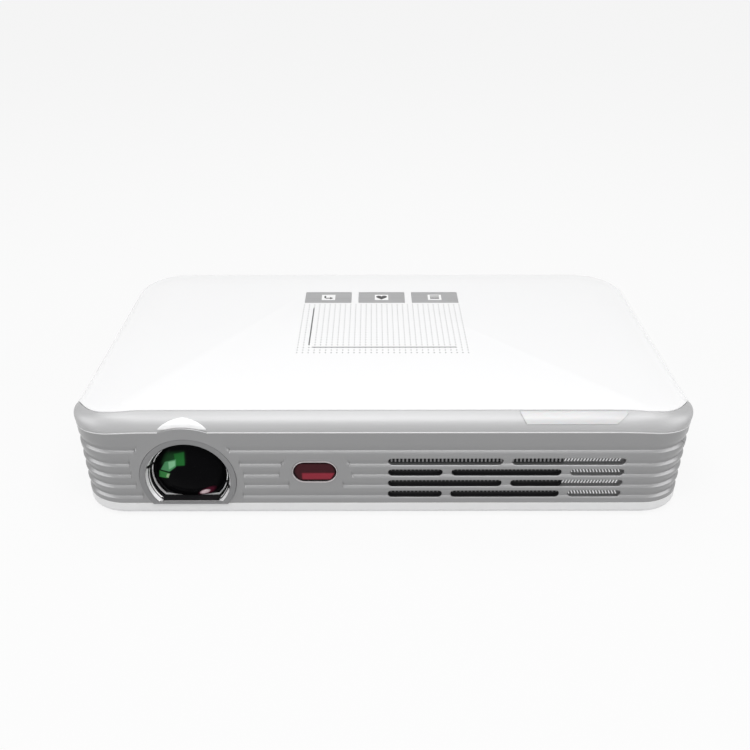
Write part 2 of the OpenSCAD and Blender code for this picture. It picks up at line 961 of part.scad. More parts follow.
module light_board() color([0.1, 0.35, 0.2]) {
  block(bar_x0 + 4, bar_x1 - 6, fy(crease_in + 4), fy(crease_in + 11),
    uz(body_h - wall - 1), uz(body_h - wall));
  for (k = [0 : 4])
    translate([bar_x0 + 8 + k * 6, fy(crease_in + 5), uz(body_h - wall - 1.8)])
      cube([2, 1.6, 0.8]);
}

module rubber_feet() color([0.25, 0.25, 0.26])
  for (x = [-1, 1])
    for (y = [-1, 1])
      translate([x * feet_x, y * feet_y, 0])
        cylinder(r = foot_r, h = foot_h + 0.8);

module cover_screws() color([0.7, 0.7, 0.72])
  for (p = screw_places)
    translate([p[0], p[1], 0])
      difference() {
        union() {
          translate([0, 0, uz(0.1)])
            cylinder(r = head_r, h = head_t);
          translate([0, 0, uz(0.1 + head_t - eps)])
            cylinder(r = screw_shank_r, h = boss_top - head_t - 1);
        }
        for (a = [0, 90])
          rotate([0, 0, a])
            translate([-1.5, -0.3, uz(0)])
              cube([3, 0.6, 0.7]);
      }

module tripod_insert() color([0.8, 0.68, 0.35])
  translate([tripod_x, tripod_y, uz(0)])
    difference() {
      cylinder(r = 5, h = tripod_l);
      translate([0, 0, -1])
        cylinder(r = tripod_r, h = tripod_l + 2);
    }

// ---------- front fittings ----------

module vent_mesh() color([0.2, 0.2, 0.21])
  block(vent_x0 - 3, vent_x1 + 2, fy(band_t), fy(band_t + 0.4),
    uz(rib_h(ribs - 1) - 1.5), uz(rib_h(1) + vent_h + 1.5));

module lens_ring() color([0.4, 0.4, 0.41])
  lens_slab(ring_y0, ring_y1)
    difference() {
      flat_circle(ring_r, ring_flat - 0.05);
      flat_circle(ring_in_r, ring_in_flat);
    }

module lens_shade() color([0.05, 0.05, 0.05])
  difference() {
    lens_slab(ring_y1, shade_y1)
      difference() {
        flat_circle(shade_in_r + shade_t, ring_in_flat + shade_t);
        flat_circle(shade_in_r, cup_flat + 0.3);
      }
    // funnel that opens towards the ring
    intersection() {
      translate([lens_x, fy(ring_y1), uz(lens_h)])
        rotate([-90, 0, 0])
          cylinder(r1 = ring_in_r, r2 = shade_in_r, h = 4);
      block(lens_x - ring_r, lens_x + ring_r, fy(0), fy(20), uz(lens_h - cup_flat), uz(body_h));
    }
  }

module front_lens() color([0.05, 0.2, 0.1, 0.6])
  intersection() {
    translate([lens_x, fy(glass_apex_y + glass_dome_r), uz(lens_h)])
      sphere(r = glass_dome_r, $fn = 120);
    lens_slab(glass_apex_y - 1, glass_edge_y + glass_t)
      flat_circle(glass_r, cup_flat - cup_t);
  }

module rear_lens() color([0.5, 0.6, 0.65, 0.5])
  difference() {
    along_y(lens_x, uz(lens_h), barrel_in_r - run_gap / 5, fy(barrel_y1 - 6), fy(barrel_y1 - 0.5));
    translate([lens_x, fy(barrel_y1 + 13), uz(lens_h)])
      sphere(r = 16, $fn = 96);
  }

module tooth(half_root, half_tip, length) {
  polygon([[-half_root, -0.2], [half_root, -0.2], [half_tip, length], [-half_tip, length]]);
}

tooth_root = 0.55 * tooth_m;
tooth_tip = 0.3 * tooth_m;
tooth_len = 1.1 * tooth_m;
pinion_root_r = pinion_r - 0.75 * tooth_m;
rack_root_x = rack_x + 0.75 * tooth_m;
rack_half = 9;
wheel_z1 = uz(wheel_h) + wheel_t;

module lens_barrel() color([0.08, 0.08, 0.08]) {
  // cup that holds the front lens
  difference() {
    lens_slab(cup_y0, cup_y1)
      flat_circle(cup_r, cup_flat);
    lens_slab(cup_y0 - 1, glass_edge_y + glass_t)
      flat_circle(glass_r, cup_flat - cup_t);
    along_y(lens_x, uz(lens_h), barrel_in_r - 1, fy(cup_y0), fy(cup_y1 + 1));
  }
  difference() {
    along_y(lens_x, uz(lens_h), barrel_r, fy(cup_y1 - eps), fy(barrel_y1));
    along_y(lens_x, uz(lens_h), barrel_in_r, fy(cup_y1 - 1), fy(barrel_y1 + 1));
  }
  // arm and rack that the focus wheel drives
  for (x1 = [lens_x - barrel_r + 1, rack_root_x + 1.6])
    block(rack_root_x, x1, wheel_y - rack_half - 3, wheel_y + (x1 > rack_root_x + 2 ? -rack_half : rack_half),
      wheel_z1 + 0.3, wheel_z1 + pinion_t - 0.3);
  translate([0, 0, wheel_z1 + 0.3])
    linear_extrude(pinion_t - 0.6)
      for (k = [-2 : 2])
        translate([rack_root_x, wheel_y + (k + 0.5) * PI * tooth_m])
          rotate(90)
            tooth(tooth_root, tooth_tip, tooth_len);
}

module focus_wheel() color([0.15, 0.15, 0.16])
  translate([wheel_x, wheel_y, uz(wheel_h)]) {
    difference() {
      union() {
        cylinder(r = wheel_r - 0.5, h = wheel_t);
        // knurled rim
        for (k = [0 : 35])
          rotate([0, 0, k * 10])
            translate([wheel_r - 1.2, -0.45, 0])
              cube([1.2, 0.9, wheel_t]);
        translate([0, 0, wheel_t - eps])
          linear_extrude(pinion_t + eps)
            union() {
              circle(r = pinion_root_r);
              for (k = [0 : pinion_teeth - 1])
                rotate(k * 360 / pinion_teeth)
                  translate([pinion_root_r, 0])
                    rotate(-90)
                      tooth(tooth_root, tooth_tip, tooth_len);
            }
      }
      translate([0, 0, -1])
        cylinder(r = axle_r + run_gap, h = wheel_t + pinion_t + 2);
    }
  }

module lens_holder() color([0.55, 0.56, 0.58])
  difference() {
    union() {
      along_y(lens_x, uz(lens_h), holder_r, fy(holder_y0), fy(holder_y1));
      block(lens_x - holder_r, lens_x + holder_r, fy(holder_y1 - 2), fy(engine_y0),
        uz(engine_h0), uz(engine_h1));
      // bracket with the focus wheel's axle
      block(wheel_x - 3, lens_x - holder_r + 3, fy(holder_y1 - 3), fy(engine_y0),
        uz(engine_h0 + 1), uz(wheel_h - 2));
      block(wheel_x - 4, wheel_x + 4, wheel_y - 4, fy(engine_y0), uz(wheel_h - 4), uz(wheel_h - 0.3));
      translate([wheel_x, wheel_y, uz(wheel_h - 0.3 - eps)])
        cylinder(r = axle_r, h = wheel_t + pinion_t + 0.6);
    }
    along_y(lens_x, uz(lens_h), barrel_r + run_gap, fy(holder_y0 - 1), fy(engine_y0 + 1));
  }

module ir_window() color([0.35, 0.04, 0.06])
  union() {
    slab_y(fy(0.35), fy(band_t))
      ir_outline(0);
    slab_y(fy(band_t), fy(band_t + 1))
      ir_outline(-1);
  }

module ir_receiver() color([0.1, 0.1, 0.1]) {
  block(ir_x - 8, ir_x + 8, fy(band_t + 4.2), fy(band_t + 5.2), uz(ir_h - 7), uz(ir_h + 7));
  block(ir_x - 3, ir_x + 3, fy(band_t + 2.4), fy(band_t + 4.2), uz(ir_h - 3), uz(ir_h + 3));
  along_y(ir_x, uz(ir_h), 2, fy(band_t + 1.2), fy(band_t + 2.4 + eps));
}

// ---------- light engine ----------

module engine_housing() color([0.5, 0.51, 0.53]) {
  x1 = engine_x0 + engine_w;
  y0 = fy(engine_y0);
  y1 = y0 + engine_d;
  difference() {
    block(engine_x0, x1, y0, y1, uz(engine_h0), uz(engine_h1));
    block(engine_x0 + engine_t, x1 - engine_t, y0 + engine_t, y1 - engine_t,
      uz(engine_h0 + engine_t), uz(engine_h1 + 1));
    // light path to the lens
    along_y(lens_x, uz(lens_h), 9, y0 - 1, y0 + engine_t + 1);
    // windows for the mirror chip and the light modules
    block(lens_x - 7, lens_x + 7, y1 - engine_t - 1, y1 + 1, uz(lens_h - 5), uz(lens_h + 5));
    block(engine_x0 - 1, engine_x0 + engine_t + 1, y0 + 14, y0 + 22, uz(lens_h - 4), uz(lens_h + 4));
    for (d = [10, 26])
      block(x1 - engine_t - 1, x1 + 1, y0 + d, y0 + d + 8, uz(lens_h - 4), uz(lens_h + 4));
  }
}

module engine_lid() color([0.45, 0.46, 0.48])
  block(engine_x0, engine_x0 + engine_w, fy(engine_y0), fy(engine_y0) + engine_d,
    uz(engine_h1), uz(engine_h1 + 1.4));

module engine_prism() color([0.75, 0.85, 0.9, 0.4])
  translate([lens_x, fy(engine_y0) + engine_d - engine_t - 1.5, uz(engine_h0 + engine_t)])
    linear_extrude(engine_h1 - engine_h0 - engine_t - 0.6)
      polygon([[-9, 0], [9, 0], [9, -16], [-9, -4]]);

module mirror_chip_board() color([0.1, 0.3, 0.45]) {
  y1 = fy(engine_y0) + engine_d;
  block(lens_x - 6.5, lens_x + 6.5, y1 - engine_t, y1 + 0.2, uz(lens_h - 4.5), uz(lens_h + 4.5));
  block(lens_x - 16, lens_x + 16, y1 + 0.2, y1 + 1.6, uz(engine_h0 + 1), uz(engine_h1 - 1));
}

module led_modules() color([0.75, 0.45, 0.25]) {
  x1 = engine_x0 + engine_w;
  y0 = fy(engine_y0);
  block(engine_x0 - 3, engine_x0, y0 + 11, y0 + 25, uz(lens_h - 7), uz(lens_h + 7));
  block(engine_x0, engine_x0 + 1, y0 + 15, y0 + 21, uz(lens_h - 3), uz(lens_h + 3));
  for (d = [7, 23]) {
    block(x1, x1 + 3, y0 + d, y0 + d + 14, uz(lens_h - 7), uz(lens_h + 7));
    block(x1 - 1, x1, y0 + d + 4, y0 + d + 10, uz(lens_h - 3), uz(lens_h + 3));
  }
  // copper plate down to the heat pipe
  block(x1 + 3, x1 + 5, y0 + 7, pipe_y + pipe_r, uz(pipe_h - 2), uz(lens_h + 5));
}

module heat_pipe() color([0.72, 0.42, 0.25]) {
  xb = (fin_x0 + fin_x1) / 2;
  along_x(pipe_y, uz(pipe_h), pipe_r, engine_x0 + engine_w + 5, xb - pipe_bend);
  translate([xb - pipe_bend, pipe_y - pipe_bend, uz(pipe_h)])
    rotate_extrude(angle = 90)
      translate([pipe_bend, 0])
        circle(r = pipe_r, $fn = 48);
  along_y(xb, uz(pipe_h), pipe_r, fin_y0 + 4, pipe_y - pipe_bend);
}

module fin_stack() color([0.75, 0.76, 0.78]) {
  xb = (fin_x0 + fin_x1) / 2;
  fin_count = floor((fin_x1 - fin_x0 - 0.5) / fin_pitch);
  difference() {
    block(fin_x0, fin_x1, fin_y0 + 2, fin_y1, uz(wall), uz(pipe_h + 3.4));
    along_y(xb, uz(pipe_h), pipe_r, fin_y0 + 4, fin_y1 + 1);
  }
  for (k = [0 : fin_count])
    translate([fin_x0 + k * fin_pitch, fin_y0, uz(pipe_h + 3.4 - eps)])
      cube([0.5, fin_y1 - fin_y0, drive_h0 - pipe_h - 3.4 - 0.4]);
}

module blower_housing() color([0.1, 0.1, 0.11]) {
  x1 = blower_x0 + blower_w;
  y1 = blower_y0 + blower_w;
  cx = blower_x0 + blower_w / 2;
  cy = blower_y0 + blower_w / 2;
  difference() {
    block(blower_x0, x1, blower_y0, y1, uz(blower_h0), uz(blower_h0 + blower_h));
    translate([cx, cy, uz(blower_h0 + 1)])
      cylinder(r = rotor_r + 3, h = blower_h - 2);
    // outlet towards the fins
    block(cx, x1 + 1, blower_y0 + 1.5, cy - 6, uz(blower_h0 + 1), uz(blower_h0 + blower_h - 1));
    // inlets above and below
    translate([cx, cy, uz(blower_h0 + blower_h - 2)])
      cylinder(r = rotor_r - 3, h = 4);
    difference() {
      translate([cx, cy, uz(blower_h0 - 1)])
        cylinder(r = rotor_r - 3, h = 3);
      translate([cx, cy, uz(blower_h0 - 1)])
        cylinder(r = 8, h = 3);
      for (a = [0, 120, 240])
        translate([cx, cy, uz(blower_h0 - 1)])
          rotate([0, 0, a])
            translate([0, -1.5, 0])
              cube([rotor_r, 3, 3]);
    }
  }
  // shaft of the blower wheel
  translate([cx, cy, uz(blower_h0)])
    cylinder(r = 1, h = blower_h - 3);
}

module blower_rotor() color([0.07, 0.07, 0.07])
  translate([blower_x0 + blower_w / 2, blower_y0 + blower_w / 2, uz(blower_h0 + 1.4)])
    difference() {
      union() {
        cylinder(r = 9, h = blower_h - 3.4);
        cylinder(r = rotor_r - 2, h = 0.8);
        for (k = [0 : blades - 1])
          rotate([0, 0, k * 360 / blades])
            translate([rotor_r - 6, 0, 0])
              rotate([0, 0, 30])
                translate([-0.3, -0.4, 0])
                  cube([6, 0.8, blower_h - 3.4]);
      }
      translate([0, 0, -1])
        cylinder(r = 1 + run_gap, h = blower_h);
    }

// ---------- disc drive ----------

module drive_chassis() color([0.66, 0.67, 0.69]) {
  y0 = drive_cy - drive_w / 2;
  y1 = drive_cy + drive_w / 2;
  h1 = drive_h1 - sheet_t;
  block(drive_x0, drive_x1, y0, y1, uz(drive_h0), uz(drive_h0 + sheet_t));
  block(drive_x0, drive_x1, y0, y0 + sheet_t, uz(drive_h0), uz(h1));
  block(drive_x0, drive_x1, y1 - sheet_t, y1, uz(drive_h0), uz(h1));
  block(drive_x0, drive_x0 + sheet_t, y0, y1, uz(drive_h0), uz(h1));
}

module drive_lid() color([0.72, 0.73, 0.75])
  block(drive_x0, drive_x1, drive_cy - drive_w / 2, drive_cy + drive_w / 2,
    uz(drive_h1 - sheet_t), uz(drive_h1));

module disc_tray() color([0.16, 0.16, 0.17])
  difference() {
    union() {
      block(tray_x0, tray_x1, drive_cy - tray_half, drive_cy + tray_half, uz(plate_h0), uz(tray_h1));
      for (y = [drive_cy - skirt_half, drive_cy + skirt_half - skirt_t])
        block(tray_x0, tray_x1, y, y + skirt_t, uz(pan_h0), uz(plate_h0 + eps));
      block(tray_x1 - front_t, tray_x1, drive_cy - skirt_half, drive_cy + skirt_half,
        uz(pan_h0), uz(plate_h0 + eps));
      // neck that carries the door
      block(tray_x1 - eps, rx(band_t), drive_cy - 42, drive_cy + 40, uz(pan_h0 + 0.6), uz(tray_h1));
      // stop and switch behind the eject button
      block(tray_x1 - eps, rx(flange_in + eject_travel + 0.2), eject_y - 3, eject_y + 3,
        eject_z - 1.5, uz(tray_h1));
    }
    translate([disc_x, drive_cy, uz(well_h)])
      cylinder(r = well_r, h = well_t + 1, $fn = 180);
    translate([disc_x, drive_cy, uz(plate_h0 - 1)])
      cylinder(r = 13, h = 4);
    // slot that the pickup runs along
    block(sled_x - pickup_travel - sled_l / 2 - 1.3, disc_x, drive_cy - 14, drive_cy + 14,
      uz(plate_h0 - 1), uz(well_h + 1));
    // finger notch
    translate([disc_x, drive_cy + well_r, uz(well_h)])
      cylinder(r = 9, h = well_t + 1);
  }

module tray_door() color([0.6, 0.6, 0.61])
  difference() {
    intersection() {
      union() {
        side_run(1, fy(front_r), by(back_r))
          band_profile(rib_depth);
        front_corner(1)
          band_profile(rib_depth);
        back_corner(1)
          band_profile(rib_depth);
      }
      door_slot(0);
      below_seam_body(door_gap);
    }
    eject_stem(0.25, band_t + 2);
    // emergency pinhole
    along_x(drive_cy + 37, eject_z, 0.6, rx(band_t + 1), rx(-1));
  }

flange_in = band_t + 1.1;
eject_y = drive_cy + 49;
eject_z = uz(door_h0 + 3);

// Pill-shaped stem of the eject button, g larger all round
module eject_stem(g, l) {
  hh = 1 + g;
  for (s = [-1, 1])
    along_x(eject_y + s * 2.4, eject_z, hh, rx(l), rx(0.35));
  block(rx(l), rx(0.35), eject_y - 2.4, eject_y + 2.4, eject_z - hh, eject_z + hh);
}

module eject_button() color([0.82, 0.82, 0.83]) {
  eject_stem(0, flange_in);
  block(rx(flange_in), rx(band_t + 0.3), eject_y - 5, eject_y + 5, eject_z - 2, eject_z + 2);
}

module tray_rails() color([0.75, 0.76, 0.78])
  for (y = [drive_cy - rail_half, drive_cy + rail_half - rail_w])
    block(tray_x0 + 0.2, tray_x0 + rail_len, y, y + rail_w, uz(pan_h0), uz(plate_h0 - 0.3));

post_in_x = disc_x - motor_r - 2.3;

module tray_pan() color([0.7, 0.71, 0.73]) {
  difference() {
    union() {
      block(tray_x0 + 0.2, tray_x1 - front_t, drive_cy - skirt_half + skirt_t,
        drive_cy + skirt_half - skirt_t, uz(pan_h0), uz(pan_h0 + pan_t));
      // posts for the rods and the screw
      for (y = [-rod_off, rod_off, screw_off])
        block(tray_x0 + 0.2, tray_x0 + 1.9, drive_cy + y - 1.7, drive_cy + y + 1.7,
          uz(pan_h0), uz(rod_h + 1.5));
      for (y = [-rod_off, rod_off])
        block(post_in_x, post_in_x + 2, drive_cy + y - 1.7, drive_cy + y + 1.7,
          uz(pan_h0), uz(rod_h + 1.5));
    }
    for (s = [-1, 1])
      along_x(drive_cy + s * rod_off, uz(rod_h), rod_r, tray_x0, disc_x);
    along_x(drive_cy + screw_off, uz(rod_h), screw_r + run_gap, tray_x0, disc_x);
  }
}

module guide_rods() color([0.85, 0.86, 0.88])
  for (s = [-1, 1])
    along_x(drive_cy + s * rod_off, uz(rod_h), rod_r, tray_x0 + 0.2, post_in_x + 2);

module spindle_motor() color([0.6, 0.61, 0.63]) {
  translate([disc_x, drive_cy, uz(pan_h0 + pan_t)])
    cylinder(r = motor_r, h = 2.7);
  translate([disc_x, drive_cy, uz(pan_h0 + pan_t)])
    cylinder(r = 1, h = tray_h1 - pan_h0 - pan_t - 0.6);
}

module disc_hub() color([0.13, 0.13, 0.14])
  translate([disc_x, drive_cy, 0])
    difference() {
      union() {
        translate([0, 0, uz(pan_h0 + pan_t + 3)])
          cylinder(r = 12, h = well_h + 0.6 - pan_h0 - pan_t - 3);
        translate([0, 0, uz(well_h + 0.5)])
          cylinder(r = hub_r, h = 1.4);
        translate([0, 0, uz(well_h + 1.9 - eps)])
          cylinder(r1 = hub_r, r2 = hub_r - 1, h = 0.8);
        // spring balls that grip the disc
        for (a = [0, 120, 240])
          rotate([0, 0, a])
            translate([hub_r - 0.9, 0, uz(well_h + 1.2)])
              sphere(r = 1.1, $fn = 32);
      }
      translate([0, 0, uz(pan_h0)])
        cylinder(r = 1 + run_gap, h = 20);
    }

module pickup_sled() color([0.3, 0.3, 0.32]) {
  h0 = pan_h0 + pan_t + 0.3;
  difference() {
    union() {
      block(sled_x - sled_l / 2, sled_x + sled_l / 2, drive_cy - rod_off - 2, drive_cy + screw_off + 2,
        uz(h0), uz(h0 + 3));
      block(sled_x - 5, sled_x + 4, drive_cy - 8, drive_cy + 8, uz(h0 + 3 - eps), uz(h0 + 3.5));
    }
    for (s = [-1, 1])
      along_x(drive_cy + s * rod_off, uz(rod_h), rod_r + run_gap, sled_x - sled_l, sled_x + sled_l);
    along_x(drive_cy + screw_off, uz(rod_h), screw_r + run_gap, sled_x - sled_l, sled_x + sled_l);
    translate([sled_x - 2, drive_cy, uz(h0 + 1.4)])
      cylinder(r = 3.2, h = 4);
  }
}

module objective_lens() color([0.6, 0.7, 0.85, 0.6])
  translate([sled_x - 2, drive_cy, uz(pan_h0 + pan_t + 2.2)])
    cylinder(r = 2.9, h = 1.6);

module lead_screw() color([0.8, 0.8, 0.82])
  along_x(drive_cy + screw_off, uz(rod_h), screw_r, tray_x0 + 0.4, sled_x + sled_l / 2 + 4);

module sled_motor() color([0.6, 0.61, 0.63])
  difference() {
    intersection() {
      along_x(drive_cy + screw_off, uz(rod_h), 2.6, sled_x + sled_l / 2 + 1, sled_x + sled_l / 2 + 13);
      block(sled_x, sled_x + 40, drive_cy, drive_cy + 40, uz(rod_h - 1.8), uz(rod_h + 1.7));
    }
    along_x(drive_cy + screw_off, uz(rod_h), screw_r + run_gap, sled_x, sled_x + sled_l / 2 + 5);
  }

// ---------- boards and sockets ----------

hdmi_w = 15;
hdmi_t = 5.6;
usb_w = 13.2;
usb_t = 5.8;
dc_x = io_x0 + 6;
hdmi_x = dc_x + 17;
usb1_x = hdmi_x + 18;
usb2_x = usb1_x + 16.5;
audio_x = usb2_x + 12.5;
ports = [[hdmi_x, hdmi_w, hdmi_t], [usb1_x, usb_w, usb_t], [usb2_x, usb_w, usb_t]];
port_face = by(band_draft + rib_depth + 0.4);

module main_board() color([0.08, 0.32, 0.18])
  difference() {
    block(board_x0, board_x1, board_y0, board_y1, uz(board_h), uz(port_h));
    // corner cleared for the round back corner of the case
    translate([board_x0, board_y1, uz(board_h - 1)])
      rotate([0, 0, 45])
        translate([-9, -9, 0])
          cube([18, 18, 4]);
  }

module board_chips() color([0.12, 0.12, 0.13]) {
  block(board_x0 + 34, board_x0 + 50, board_y0 + 14, board_y0 + 30, uz(port_h), uz(port_h + 1.6));
  for (k = [0 : 3])
    block(board_x0 + 56 + (k % 2) * 12, board_x0 + 65 + (k % 2) * 12, board_y0 + 8 + floor(k / 2) * 14,
      board_y0 + 19 + floor(k / 2) * 14, uz(port_h), uz(port_h + 1));
  for (k = [0 : 4])
    translate([board_x0 + 16 + k * 3.4, board_y0 + 8, uz(port_h)])
      cylinder(r = 1.6, h = 4);
}

module socket_shell(x, w, h, deep, tongue) {
  z0 = uz(port_h);
  difference() {
    block(x - w / 2, x + w / 2, port_face - deep, port_face, z0, z0 + h);
    block(x - w / 2 + 0.4, x + w / 2 - 0.4, port_face - deep + 1.5, port_face + 1, z0 + 0.4, z0 + h - 0.4);
  }
  block(x - w / 2 + 2.2, x + w / 2 - 2.2, port_face - deep + 1, port_face - 1.2,
    z0 + 0.4 + tongue, z0 + 0.4 + tongue + 1.3);
}

module hdmi_port() color([0.75, 0.76, 0.78])
  socket_shell(hdmi_x, hdmi_w, hdmi_t, 12, 1.8);

module usb_ports() color([0.75, 0.76, 0.78]) {
  socket_shell(usb1_x, usb_w, usb_t, 13, 2.8);
  socket_shell(usb2_x, usb_w, usb_t, 13, 2.8);
}

module audio_jack() color([0.1, 0.1, 0.11])
  difference() {
    union() {
      block(audio_x - 3.4, audio_x + 3.4, port_face - 12, port_face - 1.8, uz(port_h), uz(port_h + 6));
      along_y(audio_x, uz(port_h + 3.2), 2.9, port_face - 2, port_face);
    }
    along_y(audio_x, uz(port_h + 3.2), 1.75, port_face - 10, port_face + 1);
  }

module power_jack() color([0.1, 0.1, 0.11]) {
  difference() {
    union() {
      block(dc_x - 4.2, dc_x + 4.2, port_face - 12, port_face - 1.8, uz(port_h), uz(port_h + 8.4));
      along_y(dc_x, uz(port_h + 4), 3.4, port_face - 2, port_face);
    }
    along_y(dc_x, uz(port_h + 4), 2.8, port_face - 9, port_face + 1);
  }
  along_y(dc_x, uz(port_h + 4), 0.9, port_face - 9.5, port_face - 0.6);
}

module power_button() color([0.85, 0.85, 0.86]) {
  along_y(power_x, uz(power_h), power_r, by(3.4), by(0.9));
  along_y(power_x, uz(power_h), power_r + 1.2, by(3.4), by(2.4));
}

module power_switch() color([0.2, 0.2, 0.21]) {
  y_face = by(3.4 + power_travel + 0.2);
  block(power_x - 3, power_x + 3, y_face - 3.6, y_face, uz(power_h - 3), uz(power_h + 3));
  block(power_x - 9, power_x + 9, y_face - 5.2, y_face - 3.6, uz(wall), uz(power_h + 5));
}

module battery_pack() color([0.2, 0.35, 0.6])
  for (k = [0 : 2])
    translate([batt_x0 + k * (cell_w + 0.5), batt_y0, uz(wall)])
      cube([cell_w, batt_y1 - batt_y0, 14]);

module speakers() color([0.12, 0.12, 0.13]) {
  block(rx(band_t + 13), rx(band_t + 0.3), fy(24), fy(62), uz(wall), uz(wall + 18));
  block(lx(band_t + 0.3), lx(band_t + 13), fy(50), fy(86), uz(wall), uz(wall + 18));
}

module touch_ribbon() color([0.75, 0.6, 0.3]) {
  x0 = drive_x0 - 12;
  y1 = fy(key_y);
  block(x0, x0 + 7, y1 - 0.3, y1, uz(port_h), uz(body_h - wall - 1));
}

bottom_cover();
top_cover();
front_brow();
front_bezel();
left_side_panel();
right_side_panel();
rear_panel();
lens_hood();
status_light_bar();
light_board();
vent_mesh();
lens_ring();
lens_shade();
front_lens();
rear_lens();
lens_barrel();
lens_holder();
focus_wheel();
ir_window();
ir_receiver();
touch_keys();
touch_board();
rubber_feet();
cover_screws();
tripod_insert();
engine_housing();
engine_lid();
engine_prism();
mirror_chip_board();
led_modules();
heat_pipe();
fin_stack();
blower_housing();
blower_rotor();
drive_chassis();
drive_lid();
disc_tray();
tray_door();
eject_button();
tray_rails();
tray_pan();
spindle_motor();
disc_hub();
pickup_sled();
objective_lens();
guide_rods();
lead_screw();
sled_motor();
main_board();
board_chips();
hdmi_port();
usb_ports();
audio_jack();
power_jack();
power_button();
power_switch();
battery_pack();
speakers();
touch_ribbon();
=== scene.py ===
# %% [markdown]
# # A flat portable projector with a disc drive
# The construction comes packed as a fixed frame: every node already lies at its true place and size.
# This script dresses it. Shells that show are modelled again with smooth surfaces, and the other
# nodes keep their shape and get a finish. X points right, Y to the back and Z up.

# %% Load the frame
import json
import math
import bmesh
import bpy
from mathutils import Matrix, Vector


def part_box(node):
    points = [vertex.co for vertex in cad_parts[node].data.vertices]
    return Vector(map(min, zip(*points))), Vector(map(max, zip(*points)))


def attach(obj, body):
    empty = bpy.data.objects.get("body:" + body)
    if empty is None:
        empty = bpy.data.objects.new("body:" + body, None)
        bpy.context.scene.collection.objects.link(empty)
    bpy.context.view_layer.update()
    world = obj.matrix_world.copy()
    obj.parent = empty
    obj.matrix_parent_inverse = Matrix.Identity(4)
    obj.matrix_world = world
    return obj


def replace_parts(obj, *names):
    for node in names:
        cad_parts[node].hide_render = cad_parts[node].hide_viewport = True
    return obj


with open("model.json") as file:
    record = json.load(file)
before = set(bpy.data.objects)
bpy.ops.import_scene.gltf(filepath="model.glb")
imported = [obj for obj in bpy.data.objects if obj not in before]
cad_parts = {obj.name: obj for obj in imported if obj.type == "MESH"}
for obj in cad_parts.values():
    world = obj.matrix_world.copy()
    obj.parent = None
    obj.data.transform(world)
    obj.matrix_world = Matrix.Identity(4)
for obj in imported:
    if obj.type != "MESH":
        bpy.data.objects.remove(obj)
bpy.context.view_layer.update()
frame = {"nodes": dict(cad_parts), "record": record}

print("nodes in the frame:", len(frame["nodes"]))

# %% [markdown]
# The camera stands in front of the projector and looks down on it by 29 degrees. Its place was
# worked out from the case's corners, so the frame and the picture line up without any lens shift.

# %% Camera
CAMERA_AT = (-0.00394, -0.35336, 0.22230)
CAMERA_TILT = 60.88
CAMERA_TURN = -0.105
LENS_MM = 41.84


def put(name, data):
    """A new object in the scene."""
    obj = bpy.data.objects.new(name, data)
    bpy.context.scene.collection.objects.link(obj)
    return obj


camera_data = bpy.data.cameras.new("camera")
camera_data.lens = LENS_MM
camera_data.sensor_width = 36
camera = put("camera", camera_data)
camera.location = CAMERA_AT
camera.rotation_euler = (math.radians(CAMERA_TILT), 0, math.radians(CAMERA_TURN))
bpy.context.scene.camera = camera
print("camera at", CAMERA_AT)

# %% [markdown]
# All sizes below are in millimetres, and they follow the construction: the case's width and depth,
# the radii of its corners in plan, the heights of the seams. Depth is counted from the front face
# and height from the underside, which the feet hold off the table.

# %% Sizes of the case
MM = 0.001
CASE_W = 241
CASE_D = 146
CASE_H = 46
FOOT_H = 1.2
CORNER_X = 18.3
CORNER_Y = 16
CORNER_OUT = 1.6
BEYOND = CASE_W / 2 + 3
BACK_R = 22
WALL = 2.2
LIP = 0.4
BASE_H = 5.5
BASE_EDGE_R = 2.6
BAND_T = 3
BAND_DRAFT = 1
SEAM_H = 39.6
SEAM_DROP = 1.8
SEAM_FLAT = 88
BEZEL_WRAP = 20
LENS_X = -77.3
LENS_H = 17.35
IR_X = -27.1


def depth(d):
    """Y of a point d behind the front face."""
    return d - CASE_D / 2


def height(h):
    """Z of a point h above the underside."""
    return h + FOOT_H


def draft(h):
    """How far the silver wall leans in at height h."""
    return BAND_DRAFT * (SEAM_H - h) / (SEAM_H - BASE_H)


def seam_height(x):
    """Height of the seam over the silver wall: it drops towards the sides on a wide arc."""
    over = abs(x) - SEAM_FLAT
    if over <= 0:
        return SEAM_H
    side = CASE_W / 2 - SEAM_FLAT
    radius = (side * side + SEAM_DROP * SEAM_DROP) / (2 * SEAM_DROP)
    return SEAM_H - radius + math.sqrt(radius * radius - over * over)


def smooth_step(t):
    t = min(max(t, 0), 1)
    return t * t * (3 - 2 * t)


print("seam at the middle and the side:", seam_height(0), round(seam_height(CASE_W / 2), 2))

# %% [markdown]
# ## Mesh helpers
# Most shells here are swept: a closed profile is carried along a path, one ring of points for each
# station, and neighbouring rings are joined by quads. plain_object() loads points into a new object
# in metres and points its faces outwards. dress() gives a piece its finish, shading and body.

# %% Mesh helpers


def tidy_mesh(obj, merge=1e-7):
    """Doubles merged and normals pointed outwards."""
    bm = bmesh.new()
    bm.from_mesh(obj.data)
    bmesh.ops.remove_doubles(bm, verts=bm.verts, dist=merge)
    bmesh.ops.recalc_face_normals(bm, faces=bm.faces)
    bm.to_mesh(obj.data)
    bm.free()


def dress(obj, material, smooth=35, body="case"):
    """A piece's material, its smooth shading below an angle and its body."""
    if material:
        obj.data.materials.clear()
        obj.data.materials.append(material)
    obj.data.shade_smooth()
    obj.data.set_sharp_from_angle(angle=math.radians(smooth))
    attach(obj, body)
    return obj


